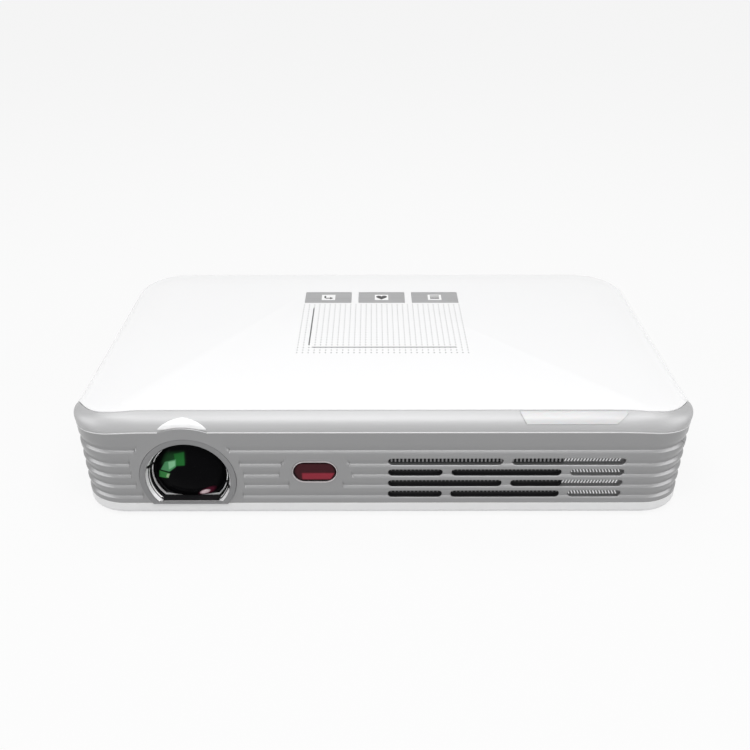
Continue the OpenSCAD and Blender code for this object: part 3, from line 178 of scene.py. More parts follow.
def sweep_faces(rings, size, closed=False, caps=True):
    """Quads between neighbouring rings of a closed profile with size points each."""
    faces = []
    last = rings if closed else rings - 1
    for r in range(last):
        a, b = r * size, ((r + 1) % rings) * size
        for k in range(size):
            n = (k + 1) % size
            faces.append((a + k, a + n, b + n, b + k))
    if caps and not closed:
        faces.append(tuple(range(size)))
        faces.append(tuple(range((rings - 1) * size, rings * size)))
    return faces


def apply_modifiers(obj):
    """The evaluated mesh becomes the object's own, and the modifiers go."""
    evaluated = obj.evaluated_get(bpy.context.evaluated_depsgraph_get())
    mesh = bpy.data.meshes.new_from_object(evaluated)
    obj.modifiers.clear()
    obj.data = mesh
    return obj


def modify(obj, kind, **fields):
    """Applies a modifier with its fields set."""
    modifier = obj.modifiers.new(kind, kind)
    for field, value in fields.items():
        setattr(modifier, field, value)
    return apply_modifiers(obj)


def cut(obj, cutters, operation="DIFFERENCE"):
    """Cuts each cutter out of obj, or joins it, and throws the cutters away."""
    for cutter in cutters:
        modify(obj, "BOOLEAN", operation=operation, solver="MANIFOLD", object=cutter)
        bpy.data.objects.remove(cutter)
    return obj


def bevel(obj, width, segments=2, angle=40):
    return modify(obj, "BEVEL", width=width * MM, segments=segments, limit_method="ANGLE",
                  angle_limit=math.radians(angle), use_clamp_overlap=True)


def plain_object(name, points, faces):
    """An object from points in millimetres: a cutter, or a piece that dress() puts on a body."""
    mesh = bpy.data.meshes.new(name)
    mesh.from_pydata([Vector(p) * MM for p in points], [], faces)
    obj = put(name, mesh)
    tidy_mesh(obj)
    return obj


X, Y, Z = range(3)


def prism(axis, outline, start, end, name="cutter"):
    """Closed prism: an outline in the other two axes, carried along one axis from start to end."""
    points = [(*p[:axis], at, *p[axis:]) for at in (start, end) for p in outline]
    return plain_object(name, points, sweep_faces(2, len(outline)))


def arc(cx, cy, r, start, end, steps):
    """Points on an arc, with angles in degrees, both ends included."""
    span = [math.radians(start + (end - start) * k / steps) for k in range(steps + 1)]
    return [(cx + r * math.cos(a), cy + r * math.sin(a)) for a in span]


def circle(x, z, r, steps=48):
    return arc(x, z, r, 0, 360, steps)[:-1]


def stadium(x0, x1, z0, z1, steps=10):
    """Outline of a slot with round ends."""
    r = (z1 - z0) / 2
    z = (z0 + z1) / 2
    return arc(x1 - r, z, r, -90, 90, steps) + arc(x0 + r, z, r, 90, 270, steps)


def rectangle(x0, x1, z0, z1):
    return [(x0, z0), (x1, z0), (x1, z1), (x0, z1)]


def middle(box):
    """Middle of a box of two corners in metres, in millimetres."""
    return (box[0] + box[1]) / (2 * MM)


def grown(box, by):
    """An (x0, x1, z0, z1) box, larger by so much on every side."""
    return box[0] - by, box[1] + by, box[2] - by, box[3] + by


def flat_circle(r, flat, steps=96):
    """Outline of a circle round the lens axis with its lower part cut flat."""
    a = math.degrees(math.asin(flat / r))
    return arc(LENS_X, height(LENS_H), r, -a, 180 + a, steps)


# %% [markdown]
# ## The path of the case
# Every wall follows the plan of the case: straight runs joined by flat ellipses in front, which
# swell a little past the sides, and by arcs of 22 mm at the back. A station on that path is a point
# with the direction that points into the case.

# %% Stations round the case


def front_stations(x_values):
    return [(x, depth(0), 0, 1) for x in x_values]


def back_stations(x_values):
    return [(x, depth(CASE_D), 0, -1) for x in x_values]


FRONT_HALF = CASE_W / 2 + CORNER_OUT - CORNER_X


def side_out(d):
    """How far the silver side stands past the nominal width: it swells at the front corner."""
    return CORNER_OUT * (1 - smooth_step((d - CORNER_Y) / 18))


def side_stations(side, d_values):
    return [(side * (CASE_W / 2 + side_out(d)), depth(d), -side, 0) for d in d_values]


def corner_stations(side, back, steps=18):
    """Stations round one corner, from the front or back face to the side face."""
    rx, ry = (BACK_R, BACK_R) if back else (CORNER_X, CORNER_Y)
    cx = side * (CASE_W / 2 - BACK_R if back else FRONT_HALF)
    cy = depth(CASE_D - ry) if back else depth(ry)
    out = 1 if back else -1
    made = []
    for k in range(steps + 1):
        a = math.radians(90 * k / steps)
        across, along_y = math.sin(a) / rx, math.cos(a) / ry
        size = math.hypot(across, along_y)
        nx, ny = side * across / size, out * along_y / size
        made.append((cx + side * rx * math.sin(a), cy + out * ry * math.cos(a), -nx, -ny))
    return made


def spread(a, b, step):
    count = max(1, math.ceil(abs(b - a) / step))
    return [a + (b - a) * k / count for k in range(count + 1)]


def sweep_wall(name, stations, profile):
    """A closed wall: profile(station) gives its points as (distance inwards, height)."""
    points = []
    for x, y, nx, ny in stations:
        ring = profile(x, y)
        size = len(ring)
        points += [(x + nx * inset, y + ny * inset, height(h)) for inset, h in ring]
    return plain_object(name, points, sweep_faces(len(stations), size))


print("stations in one back corner:", len(corner_stations(1, True)))

# %% [markdown]
# ## Finishes
# The surface effects that several finishes share are built once as shader node groups. The first
# gives the faint unevenness of moulded or painted plastic: a slow change of shade, a finer change of
# gloss and a height for the bump. The second gives the fine parallel lines of drawn metal. Both
# read object coordinates, so they keep their scale on every piece.

# %% Shared effects


def new_group(name, inputs, outputs):
    group = bpy.data.node_groups.new(name, "ShaderNodeTree")
    for label, value in inputs:
        socket = group.interface.new_socket(name=label, in_out="INPUT", socket_type="NodeSocketFloat")
        socket.default_value = value
    for label, kind in outputs:
        group.interface.new_socket(name=label, in_out="OUTPUT", socket_type=kind)
    return group, group.nodes.new("NodeGroupInput"), group.nodes.new("NodeGroupOutput")


def wire(tree, node, inputs):
    """Links a node's inputs to sockets, or sets them to plain values."""
    for label, value in inputs.items():
        if isinstance(value, bpy.types.NodeSocket):
            tree.links.new(value, node.inputs[label])
        else:
            node.inputs[label].default_value = value


def add(tree, kind, inputs=None, **fields):
    """A new node with its own fields set and its inputs wired."""
    node = tree.nodes.new(kind)
    for field, value in fields.items():
        setattr(node, field, value)
    wire(tree, node, inputs or {})
    return node


def maths(tree, operation, *values):
    """A Math node whose inputs are sockets or numbers."""
    return add(tree, "ShaderNodeMath", dict(enumerate(values)), operation=operation).outputs[0]


def effect_ends(group, inside, outside, broad, fine):
    """Change of shade from one noise, change of gloss and height from the other."""
    values = inside.outputs
    broad_change = maths(group, "SUBTRACT", broad.outputs["Fac"], 0.5)
    fine_change = maths(group, "SUBTRACT", fine.outputs["Fac"], 0.5)
    wire(group, outside, {
        "Shade factor": maths(group, "MULTIPLY_ADD", broad_change, values["Shade"], 1.0),
        "Roughness": maths(group, "MULTIPLY_ADD", fine_change, values["Gloss change"], values["Gloss"]),
        "Height": fine.outputs["Fac"],
    })
    return group


EFFECT_INPUTS = [("Scale", 600), ("Shade", 0.03), ("Gloss", 0.35), ("Gloss change", 0.05)]
EFFECT_OUTPUTS = [(label, "NodeSocketFloat") for label in ("Shade factor", "Roughness", "Height")]
BROAD_SCALE = 24


def build_grain_group():
    group, inside, outside = new_group("moulded_grain", EFFECT_INPUTS, EFFECT_OUTPUTS)
    at = add(group, "ShaderNodeTexCoord").outputs["Object"]
    scale = inside.outputs["Scale"]
    fine = add(group, "ShaderNodeTexNoise", {"Vector": at, "Scale": scale, "Detail": 3})
    broad = add(group, "ShaderNodeTexNoise", {"Vector": at, "Scale": BROAD_SCALE, "Detail": 2})
    return effect_ends(group, inside, outside, broad, fine)


def build_drawn_group():
    group, inside, outside = new_group("drawn_lines", EFFECT_INPUTS + [("Stretch", 40)], EFFECT_OUTPUTS)
    at = add(group, "ShaderNodeTexCoord").outputs["Object"]
    split = add(group, "ShaderNodeSeparateXYZ", {0: at}).outputs
    squeezed = maths(group, "DIVIDE", split["X"], inside.outputs["Stretch"])
    joined = add(group, "ShaderNodeCombineXYZ", {"X": squeezed, "Y": split["Y"], "Z": split["Z"]})
    noise_at = {"Vector": joined.outputs[0], "Scale": inside.outputs["Scale"], "Detail": 2}
    lines = add(group, "ShaderNodeTexNoise", noise_at)
    return effect_ends(group, inside, outside, lines, lines)


grain_group = build_grain_group()
drawn_group = build_drawn_group()
print("effect groups:", grain_group.name, drawn_group.name)

# %% [markdown]
# A finish is one Principled shader. Its constant values sit on the shader's own sockets, and the
# group feeds only what changes over the surface: colour, roughness and the height of a bump. A
# finish with a stretch has drawn lines, the others have the moulded grain.

# %% A finish from a group
BUMP_SIZE = 0.0002


def new_material(name, **sockets):
    """A material and its shader, with constant values on the shader's sockets."""
    material = bpy.data.materials.new(name)
    material.use_nodes = True
    shader = material.node_tree.nodes["Principled BSDF"]
    for label, value in sockets.items():
        shader.inputs[label.replace("_", " ")].default_value = value
    return material, shader


def finish(name, colour, scale, shade, gloss, change=0.05, bump=0.02, stretch=None, **sockets):
    """A material from its colour and the scale, change of shade, gloss and change of gloss."""
    material, shader = new_material(name, **sockets)
    tree = material.node_tree
    values = {"Scale": scale, "Shade": shade, "Gloss": gloss, "Gloss change": change}
    if stretch:
        values["Stretch"] = stretch
    effect = add(tree, "ShaderNodeGroup", values, node_tree=drawn_group if stretch else grain_group)
    tint = add(tree, "ShaderNodeMix", {"Factor": 1, "A": (*colour, 1), "B": effect.outputs["Shade factor"]},
               data_type="RGBA", blend_type="MULTIPLY")
    lift = add(tree, "ShaderNodeBump",
               {"Strength": bump, "Distance": BUMP_SIZE, "Height": effect.outputs["Height"]})
    wire(tree, shader, {"Base Color": tint.outputs["Result"], "Roughness": effect.outputs["Roughness"],
                        "Normal": lift.outputs["Normal"]})
    return material


# %% [markdown]
# The case has four plastics. The covers are glossy white. The ribbed wall and the brow are painted
# silver-grey: a metallic paint, which is a grey base with fine flakes under a clear coat, so it
# lightens where it faces up to the light. The bottom and the touch keys are plainer.

# %% Finishes of the case
white_gloss = finish("white_gloss_plastic", (0.90, 0.90, 0.905), 350, 0.01, 0.22, 0.04, 0.02,
                     Coat_Weight=0.3, Coat_Roughness=0.08)
silver_paint = finish("silver_paint", (0.285, 0.285, 0.288), 2600, 0.015, 0.3, 0.02, 0.004,
                      Metallic=0.55, Coat_Weight=0.1, Coat_Roughness=0.3)
brow_paint = finish("silver_brow_paint", (0.43, 0.43, 0.434), 2600, 0.01, 0.5, 0.04, 0.02,
                    Metallic=0.5, Coat_Weight=0.15, Coat_Roughness=0.25)
print("case finishes ready")

# %% [markdown]
# ## The silver wall
# Five ribs run round the silver wall. Above each ledge the wall leans in by about 1 mm, so the ledge
# catches the light and the slope over it stays dull. In front the ribs stop short of the lens and of
# the infrared window, some with slanted ends. The wall is swept round the case's path: each station
# asks how deep every rib is there, so an end is a mask and not a cut.

# %% Ribs of the silver wall
RIB_H = [30.35] + [23.9 - 5.24 * k for k in range(4)]
RIB_RUN = 3.9
RIB_LEDGE = 1.1
RIB_DEPTH = 0.95
RIB_END = 0.5
EDGE = 0.18
BULGE_R = 24.2
BULGE_D = 0.7
LENS_CLEAR_LEFT = [19.7, 22.3, 22.3, 21, 19]
LENS_CLEAR_RIGHT = [17.4, 20.9, 22.2, 22.2, 21.3]
WINDOW_W = 17.6
WINDOW_T = 9.8
WINDOW_H = 21.1
WINDOW_CLEAR = [4.4, 5.4, 1.8]
LONG_SLANT = 0.75
SHORT_SLANT = 0.15


def bare_stretches(i):
    """Where the front wall stays plain in the line of rib i: (from, to, slant of both ends)."""
    slant = LONG_SLANT if i == 0 else SHORT_SLANT
    made = [(LENS_X - LENS_CLEAR_LEFT[i], LENS_X + LENS_CLEAR_RIGHT[i], slant)]
    if 0 < i < 4:
        clear = WINDOW_W / 2 + WINDOW_CLEAR[i - 1]
        slant = LONG_SLANT if i == 1 else SHORT_SLANT
        made.append((IR_X - clear, IR_X + clear + 0.5, slant))
    return made


def rib_mask(i, x, y, h):
    """1 where rib i has its full depth, 0 where the front wall is plain."""
    if y > depth(2):
        return 1
    rise = h - RIB_H[i]
    inside = [min(x - a - k * rise, b - k * rise - x) for a, b, k in bare_stretches(i)]
    return 1 - smooth_step(max(inside) / RIB_END + 0.5)


def wall_profile(x, y, top_gap=0):
    """Section of the silver wall at a station, as (inset, height), down its face and up its back."""
    seam = seam_height(x)
    top = seam
    if abs(x - LENS_X) < BULGE_R and y < depth(2):
        top = max(seam, LENS_H + math.sqrt(BULGE_R ** 2 - (x - LENS_X) ** 2))
    seam -= top_gap
    top -= top_gap
    ring = [(draft(top) + EDGE, top), (draft(top), top - EDGE)]
    for i, h in enumerate(RIB_H):
        for t in (0, 0.33, 0.66, 0.97):
            at = h + RIB_RUN - t * (RIB_RUN - RIB_LEDGE / 2)
            ring.append((draft(at) + RIB_DEPTH * t * rib_mask(i, x, y, at), at))
        mask = rib_mask(i, x, y, h)
        for t, at in ((0.92, 0.42), (0.08, -0.42), (0, -0.56)):
            ring.append((draft(h + at) + RIB_DEPTH * t * mask, h + at))
    ring += [(draft(BASE_H), BASE_H + EDGE), (draft(BASE_H) + EDGE, BASE_H), (BAND_T, BASE_H)]
    return ring + [(BAND_T, seam), (BULGE_D, seam), (BULGE_D, top)]


print("ledges at", [round(h, 2) for h in RIB_H])

# %% Front wall, in one piece round both front corners


def front_wall_x():
    """Stations of the front face: coarse where nothing changes, fine where a rib ends."""
    found = set(spread(-FRONT_HALF, FRONT_HALF, 2.5))
    for i in range(len(RIB_H)):
        for a, b, slant in bare_stretches(i):
            reach = slant * RIB_RUN + RIB_END
            found.update(spread(a - RIB_END, a + reach, 0.25))
            found.update(spread(b - reach, b + RIB_END, 0.25))
    found.update(spread(LENS_X - 10.5, LENS_X + 10.5, 0.7))
    found = sorted(x for x in found if -FRONT_HALF <= x <= FRONT_HALF)
    return [x for k, x in enumerate(found) if k == 0 or x - found[k - 1] > 0.05]


def front_path(wrap):
    """Round the front, from a depth on the left side to the same depth on the right side."""
    left = side_stations(-1, spread(wrap, CORNER_Y, 3))[:-1]
    right = side_stations(1, spread(CORNER_Y, wrap, 3))[1:]
    left += corner_stations(-1, False)[::-1][:-1]
    return left + front_stations(front_wall_x()) + corner_stations(1, False)[1:] + right


JOINT_GAP = 0.05
bezel = sweep_wall("front_wall", front_path(BEZEL_WRAP - JOINT_GAP), wall_profile)
print("front wall faces:", len(bezel.data.polygons))

# %% [markdown]
# The openings are cut with prisms. The vent rows sit on the four lower ledges and their bars are
# staggered; the slots' ends are round. The lens hole is a circle whose lower part runs out of the
# wall, and the tray's door takes a long box out of the right side.

# %% Openings of the front wall
VENT_X0 = 1.7
VENT_LEN = 93.2
VENT_H = 3.3
VENT_BAR = 3.4
RING_R = 19
HOLE_FOOT = 4.5
DOOR_Y = (-65.2, 61.2)
DOOR_H = 25.2
DOOR_GAP = 0.35
DOOR_X = CASE_W / 2 - 9


def vent_slots(i):
    """(from, to) of each slot in vent row i."""
    splits = [0, 0.503, 1] if i % 2 else [0, 0.25, 0.753, 1]
    ends = [VENT_X0 + VENT_LEN * s for s in splits]
    made = []
    for k in range(len(ends) - 1):
        a = ends[k] + (VENT_BAR / 2 if k else 0)
        b = ends[k + 1] - (VENT_BAR / 2 if k < len(ends) - 2 else 0)
        made.append((a, b))
    return made


def flared_slot(x0, x1, z0, z1, y_face, y_end, flare=0.15):
    """A cutter for a slot whose outer edge is eased."""
    rings = [(y_face - 2, flare), (y_face, flare), (y_face + flare, 0), (y_end, 0)]
    points = []
    for y, g in rings:
        points += [(x, y, z) for x, z in stadium(x0 - g, x1 + g, z0 - g, z1 + g, 8)]
    size = len(points) // len(rings)
    return plain_object("slot", points, sweep_faces(len(rings), size))


def door_box(gap):
    x0, x1 = DOOR_X - gap, BEYOND
    outline = rectangle(DOOR_Y[0] - gap, DOOR_Y[1] + gap, height(DOOR_H - gap), height(SEAM_H + 1))
    return prism(X, outline, x0, x1)


cutters = []
for i in range(1, 5):
    face = depth(draft(RIB_H[i]) + 0.35)
    for a, b in vent_slots(i):
        cutters.append(flared_slot(a, b, height(RIB_H[i]), height(RIB_H[i] + VENT_H), face, depth(4)))
window = (IR_X - WINDOW_W / 2, IR_X + WINDOW_W / 2,
          height(WINDOW_H - WINDOW_T / 2), height(WINDOW_H + WINDOW_T / 2))
cutters.append(flared_slot(*grown(window, 0.1), depth(0.5), depth(4)))
hole = [(x, max(z, height(HOLE_FOOT))) for x, z in flat_circle(RING_R + 0.15, LENS_H - HOLE_FOOT)]
cutters.append(prism(Y, hole, depth(-1), depth(4)))
cutters.append(door_box(DOOR_GAP))
cut(bezel, cutters)
dress(bezel, silver_paint, 30)
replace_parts(bezel, "front_bezel")
print("front wall after cutting:", len(bezel.data.polygons), "faces")

# %% [markdown]
# The sides and the back carry the same ribs. The left side has the exhaust slots and the slot of the
# focus wheel in a shallow finger dish. The right side keeps a frame round the tray's door and has the
# speaker slots. The back wraps round both rear corners and has a plain plate round the sockets.

# %% Side walls
WHEEL_Y = depth(30)
WHEEL_H = 12
WHEEL_T = 3.2
WHEEL_SLOT = 8.6
DISH_R = 20
DISH_DEPTH = 1.2
DISH_HALF = 6


def side_wall(name, side, cutters):
    start, end = BEZEL_WRAP + JOINT_GAP, CASE_D - BACK_R - JOINT_GAP
    wall = sweep_wall(name, side_stations(side, spread(start, end, 4)), wall_profile)
    cut(wall, cutters)
    dress(wall, silver_paint, 30)
    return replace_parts(wall, name)


def side_slots(side, rows, first_depths):
    """Cutters for rows of slots through a side wall."""
    made = []
    x0, x1 = sorted((side * (CASE_W / 2 - 4), side * BEYOND))
    for i in rows:
        for d in first_depths:
            outline = stadium(depth(d), depth(d + 17), height(RIB_H[i]), height(RIB_H[i] + VENT_H), 8)
            made.append(prism(X, outline, x0, x1))
    return made


wheel_mid = height(WHEEL_H + WHEEL_T / 2)
dish = circle(-CASE_W / 2 + DISH_DEPTH - DISH_R, WHEEL_Y, DISH_R, 96)
dish = prism(Z, dish, wheel_mid - DISH_HALF, wheel_mid + DISH_HALF)
bevel(dish, 1.5, 4)
slot_low, slot_high = height(WHEEL_H - 0.6), height(WHEEL_H + WHEEL_T + 0.6)
wheel_slot = rectangle(WHEEL_Y - WHEEL_SLOT, WHEEL_Y + WHEEL_SLOT, slot_low, slot_high)
wheel_slot = prism(X, wheel_slot, -BEYOND, 4 - CASE_W / 2)
left_cutters = [wheel_slot, dish] + side_slots(-1, range(1, 4), (54, 74, 94))
right_cutters = [door_box(DOOR_GAP)] + side_slots(1, range(2, 5), (24, 44))
left_wall = side_wall("left_side_panel", -1, left_cutters)
right_wall = side_wall("right_side_panel", 1, right_cutters)
print("side walls:", len(left_wall.data.polygons), len(right_wall.data.polygons))

# %% [markdown]
# The back wall's plates are plain bands between the ribs, so they are joined on as prisms before the
# sockets are cut. The round cutters stay fine enough that no corner shows.

# %% Back wall
PORT_H = 8.6
PLATE_H = (BASE_H + 1.5, 21)
IO_X = (22.5 - CASE_W / 2, -22)
POWER_X = 20
POWER_H = 14
POWER_R = 3.4
AUDIO_R = 3.2
POWER_JACK_R = 3.7
POWER_JACK_RISE = 4


def back_plate(x0, x1):
    """A plain plate 0.1 mm proud of the wall, between two heights."""
    low, high = PLATE_H
    y = depth(CASE_D)
    outline = [(y - draft(high) + 0.1, height(high)), (y - draft(low) + 0.1, height(low)),
               (y - BAND_T + 0.5, height(low)), (y - BAND_T + 0.5, height(high))]
    return bevel(prism(X, outline, x0, x1), 0.25, 2)


back_half = CASE_W / 2 - BACK_R
rear_path = corner_stations(1, True)[::-1][:-1] + back_stations(spread(back_half, -back_half, 4))
rear_path += corner_stations(-1, True)[1:]
rear_wall = sweep_wall("rear_wall", rear_path, wall_profile)
cut(rear_wall, [back_plate(*IO_X), back_plate(POWER_X - 8, POWER_X + 8)], "UNION")
print("back wall:", len(rear_wall.data.polygons), "faces")

# %% [markdown]
# The holes of the sockets follow the sockets themselves, so their boxes are read from the frame.
# Each connected part of the socket nodes gets its own opening.

# %% Openings of the back wall
y_out, y_in = depth(CASE_D) + 1, depth(CASE_D) - 4
SOCKET_MIN_H = 5


def socket_boxes(node):
    """Boxes of a node's connected shells, as (x0, x1, z0, z1) in millimetres, but for the low ones."""
    bm = bmesh.new()
    bm.from_mesh(frame["nodes"][node].data)
    bmesh.ops.remove_doubles(bm, verts=bm.verts, dist=1e-6)
    left = set(bm.verts)
    boxes = []
    while left:
        front = [left.pop()]
        shell = list(front)
        while front:
            for edge in front.pop().link_edges:
                for vert in edge.verts:
                    if vert in left:
                        left.remove(vert)
                        front.append(vert)
                        shell.append(vert)
        xs, zs = [v.co.x / MM for v in shell], [v.co.z / MM for v in shell]
        boxes.append((min(xs), max(xs), min(zs), max(zs)))
    bm.free()
    return [b for b in boxes if b[3] - b[2] > SOCKET_MIN_H]


cutters = []
for node in ("hdmi_port", "usb_ports"):
    for x0, x1, z0, z1 in socket_boxes(node):
        outline = rectangle(x0 - 0.2, x1 + 0.2, z0 - 0.2, z1 + 0.2)
        cutters.append(prism(Y, outline, y_in, y_out))
audio_x = middle(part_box("audio_jack")).x
power_jack_x = middle(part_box("power_jack")).x
for x, h, r in ((audio_x, PORT_H + AUDIO_R, AUDIO_R),
                (power_jack_x, PORT_H + POWER_JACK_RISE, POWER_JACK_R),
                (POWER_X, POWER_H, POWER_R + 0.25)):
    cutters.append(prism(Y, circle(x, height(h), r), y_in, y_out))
cutters.append(door_box(DOOR_GAP))
cut(rear_wall, cutters)
dress(rear_wall, silver_paint, 30)
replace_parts(rear_wall, "rear_panel")
print("openings in the back wall:", len(cutters))

# %% [markdown]
# The tray's door is the same wall, cut free by a narrow gap. It holds the slot of the eject button
# and a pinhole for the emergency release, and it rides on the tray.

# %% Tray door
DRIVE_Y = -2
EJECT_Y = DRIVE_Y + 49
PINHOLE_Y = DRIVE_Y + 37
EJECT_Z = height(DOOR_H + 3)


def pill_along_x(y, z, half_run, r, x0, x1):
    outline = arc(y + half_run, z, r, -90, 90, 12) + arc(y - half_run, z, r, 90, 270, 12)
    return prism(X, outline, x0, x1)


door_path = corner_stations(1, False)[:-1] + side_stations(1, spread(CORNER_Y, CASE_D - BACK_R, 4))
door_path += corner_stations(1, True)[::-1][1:]
door = sweep_wall("tray_door_face", door_path, lambda x, y: wall_profile(x, y, DOOR_GAP))
outline = rectangle(DOOR_Y[0], DOOR_Y[1], height(DOOR_H), height(SEAM_H + 1))
cut(door, [prism(X, outline, DOOR_X, BEYOND)], "INTERSECT")
reach = (CASE_W / 2 - 5, BEYOND)
cut(door, [pill_along_x(EJECT_Y, EJECT_Z, 2.4, 1.25, *reach),
           prism(X, circle(PINHOLE_Y, EJECT_Z, 0.6, 20), *reach)])
dress(door, silver_paint, 30, "tray_group")
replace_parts(door, "tray_door")
print("door faces:", len(door.data.polygons))

# %% [markdown]
# ## The white cover
# The cover is flat in the middle and falls away on a very wide arc. At the back a tight arc ends in an
# upright edge. The sides are rounder, like a pebble: they swell past the silver wall, are widest a
# little above the seam and draw in again below. The surface is a set of U-shaped rings that start and
# end on the crease behind the brow; each ring has one inset for the back and one for the sides, and
# the rear corners pass from one to the other. A Solidify modifier gives the wall, a Bevel the rims.

# %% Shape of the cover
SHOULDER = 18
SHOULDER_R = 110
ROOF_EDGE_R = 3
SWELL = 1.3
BROW_SWELL = 0.35
SWELL_H = 41.2
SIDE_RUN = 3.4
SIDE_SHARE = 0.45
EDGE_STEPS = 9
CREASE_GAP = 0.24
# The crease in plan, as (x, depth): straight in the middle, a slight bow, then round the corner
CREASE = [(88, 6.3), (96, 6.0), (103, 5.1), (109.5, 5.5), (113.4, 7.5), (116.5, 10.4), (119.2, 14),
          (122, 19.6)]


def shoulder_height(d):
    return CASE_H - SHOULDER_R + math.sqrt(SHOULDER_R ** 2 - (SHOULDER - d) ** 2)


ROOF_LOW = shoulder_height(LIP + ROOF_EDGE_R) - ROOF_EDGE_R
SIDE_RISE = shoulder_height(SIDE_RUN) - SWELL_H


def side_height(d):
    """Height of the cover at distance d inside the nominal side, above the widest line."""
    if d >= SHOULDER:
        return CASE_H
    if d >= SIDE_RUN:
        return shoulder_height(d)
    t = min((SIDE_RUN - d) / (SIDE_RUN + SWELL), 1)
    return SWELL_H + SIDE_RISE * math.sqrt(1 - t * t)


def side_share(nx):
    """0 where the outline faces the front or the back, 1 where it faces sideways."""
    return smooth_step(abs(nx) / 0.95)


def spline(points, steps=8):
    """A smooth line through points, with steps pieces between neighbours."""
    ends = [tuple(2 * a - b for a, b in zip(points[0], points[1]))] + points
    ends.append(tuple(2 * a - b for a, b in zip(points[-1], points[-2])))
    made = []
    for k in range(1, len(ends) - 2):
        p = ends[k - 1:k + 3]
        for s in range(steps):
            t = s / steps
            w = (-t + 2 * t * t - t ** 3, 2 - 5 * t * t + 3 * t ** 3,
                 t + 4 * t * t - 3 * t ** 3, t ** 3 - t * t)
            made.append(tuple(sum(w[i] * p[i][axis] for i in range(4)) / 2 for axis in (0, 1)))
    return made + [points[-1]]


CREASE_LINE = spline(CREASE)


def crease_depth(x):
    """Depth of the crease at x."""
    x = abs(x)
    for (ax, ad), (bx, bd) in zip(CREASE_LINE, CREASE_LINE[1:]):
        if x <= bx:
            return ad + (bd - ad) * max(x - ax, 0) / (bx - ax)
    return CREASE_LINE[-1][1]


def ring_steps():
    """(inset, height) of each ring at the back and at the sides; None stands for the seam.

    The third value of a side is the ring's share of the silver side's swelling.
    """
    back = [(LIP, None), (LIP, (SEAM_H + ROOF_LOW) / 2)]
    sides = [(0.1, None, 1), (-0.6 * SWELL, (SEAM_H + SWELL_H) / 2 - 0.9, 0.6)]
    for k in range(EDGE_STEPS):
        a = math.radians(80 * k / (EDGE_STEPS - 1))
        back.append((LIP + ROOF_EDGE_R * (1 - math.cos(a)), ROOF_LOW + ROOF_EDGE_R * math.sin(a)))
        d = SIDE_RUN - (SIDE_RUN + SWELL) * math.cos(a)
        sides.append((d, side_height(d), SIDE_SHARE * max(1 - k / 5, 0)))
    for d in spread(LIP + ROOF_EDGE_R, SHOULDER, 1.9):
        back.append((d, shoulder_height(d)))
        sides.append((max(d, SIDE_RUN), shoulder_height(max(d, SIDE_RUN)), 0))
    return zip(back, sides)


def roof_ring(back, sides, side_steps=22, corner_steps=20, back_steps=40):
    """One U-shaped ring of the cover, from the crease on the right round the back to the left."""
    cy, cx = depth(CASE_D - BACK_R), CASE_W / 2 - BACK_R
    x_side = CASE_W / 2 - sides[0]
    y_start = depth(crease_depth(x_side) + CREASE_GAP)
    path = []
    for k in range(side_steps):
        y = y_start + (cy - y_start) * k / side_steps
        path.append((x_side + side_out(y + CASE_D / 2) * sides[2], y, 1))
    for k in range(corner_steps + 1):
        a = math.radians(90 * k / corner_steps)
        share = side_share(math.cos(a))
        r = BACK_R - back[0] * (1 - share) - sides[0] * share
        path.append((cx + r * math.cos(a), cy + r * math.sin(a), share))
    behind = [(cx - 2 * cx * k / back_steps, depth(CASE_D - back[0]), 0) for k in range(1, back_steps)]
    path = path + behind + [(-x, y, share) for x, y, share in path[::-1]]
    ring = []
    for x, y, share in path:
        seam = seam_height(min(abs(x), CASE_W / 2))
        low, high = (seam if h is None else h for h in (back[1], sides[1]))
        ring.append((x, y, height(low * (1 - share) + high * share)))
    return ring


def open_strip_faces(rings, size):
    """Quads between open rings, without joining each ring's end to its start."""
    return [(r * size + k, r * size + k + 1, (r + 1) * size + k + 1, (r + 1) * size + k)
            for r in range(rings - 1) for k in range(size - 1)]


def thicken(obj, thickness):
    """Wall thickness towards the inside of an open sheet whose normals point outwards."""
    return modify(obj, "SOLIDIFY", thickness=thickness * MM, offset=-1, use_even_offset=True)


def face_up(obj):
    """Flips an open sheet whose faces point down."""
    area = sum(p.normal.z * p.area for p in obj.data.polygons)
    if area < 0:
        obj.data.flip_normals()
    return obj


print("widest line of the cover: height", SWELL_H, "and", SWELL, "mm past the nominal side")

# %% Cover
KEY_W = 22.6
KEY_D = 13
KEY_PITCH = 26
KEY_Y = depth(112.3)
KEY_T = 0.6
KEY_GAP = 0.1


def key_outline(x, gap=0):
    """Outline of a touch key's pocket, or of the plate that fits it with a gap."""
    return rectangle(*grown((x - KEY_W / 2, x + KEY_W / 2, KEY_Y - KEY_D / 2, KEY_Y + KEY_D / 2), -gap))


rings = [roof_ring(back, sides) for back, sides in ring_steps()]
size = len(rings[0])
points = [p for ring in rings for p in ring]
faces = open_strip_faces(len(rings), size)
flat_half = CASE_W / 2 - SHOULDER
front_edge = [(x, depth(d + CREASE_GAP), height(CASE_H)) for x, d in CREASE_LINE if x < flat_half]
front_edge = [(-x, y, z) for x, y, z in front_edge[::-1]] + front_edge
first = (len(rings) - 1) * size
last = len(points)
faces.append((*range(first, first + size), *range(last, last + len(front_edge))))
points += front_edge
cover = face_up(plain_object("white_cover", points, faces))
thicken(cover, WALL)
bevel(cover, 0.3, 3, 50)
pockets = []
for k in (-1, 0, 1):
    pockets.append(prism(Z, key_outline(k * KEY_PITCH), height(CASE_H - KEY_T), height(CASE_H + 1)))
cut(cover, pockets)
dress(cover, white_gloss, 30)
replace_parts(cover, "top_cover")
print("cover faces:", len(cover.data.polygons))

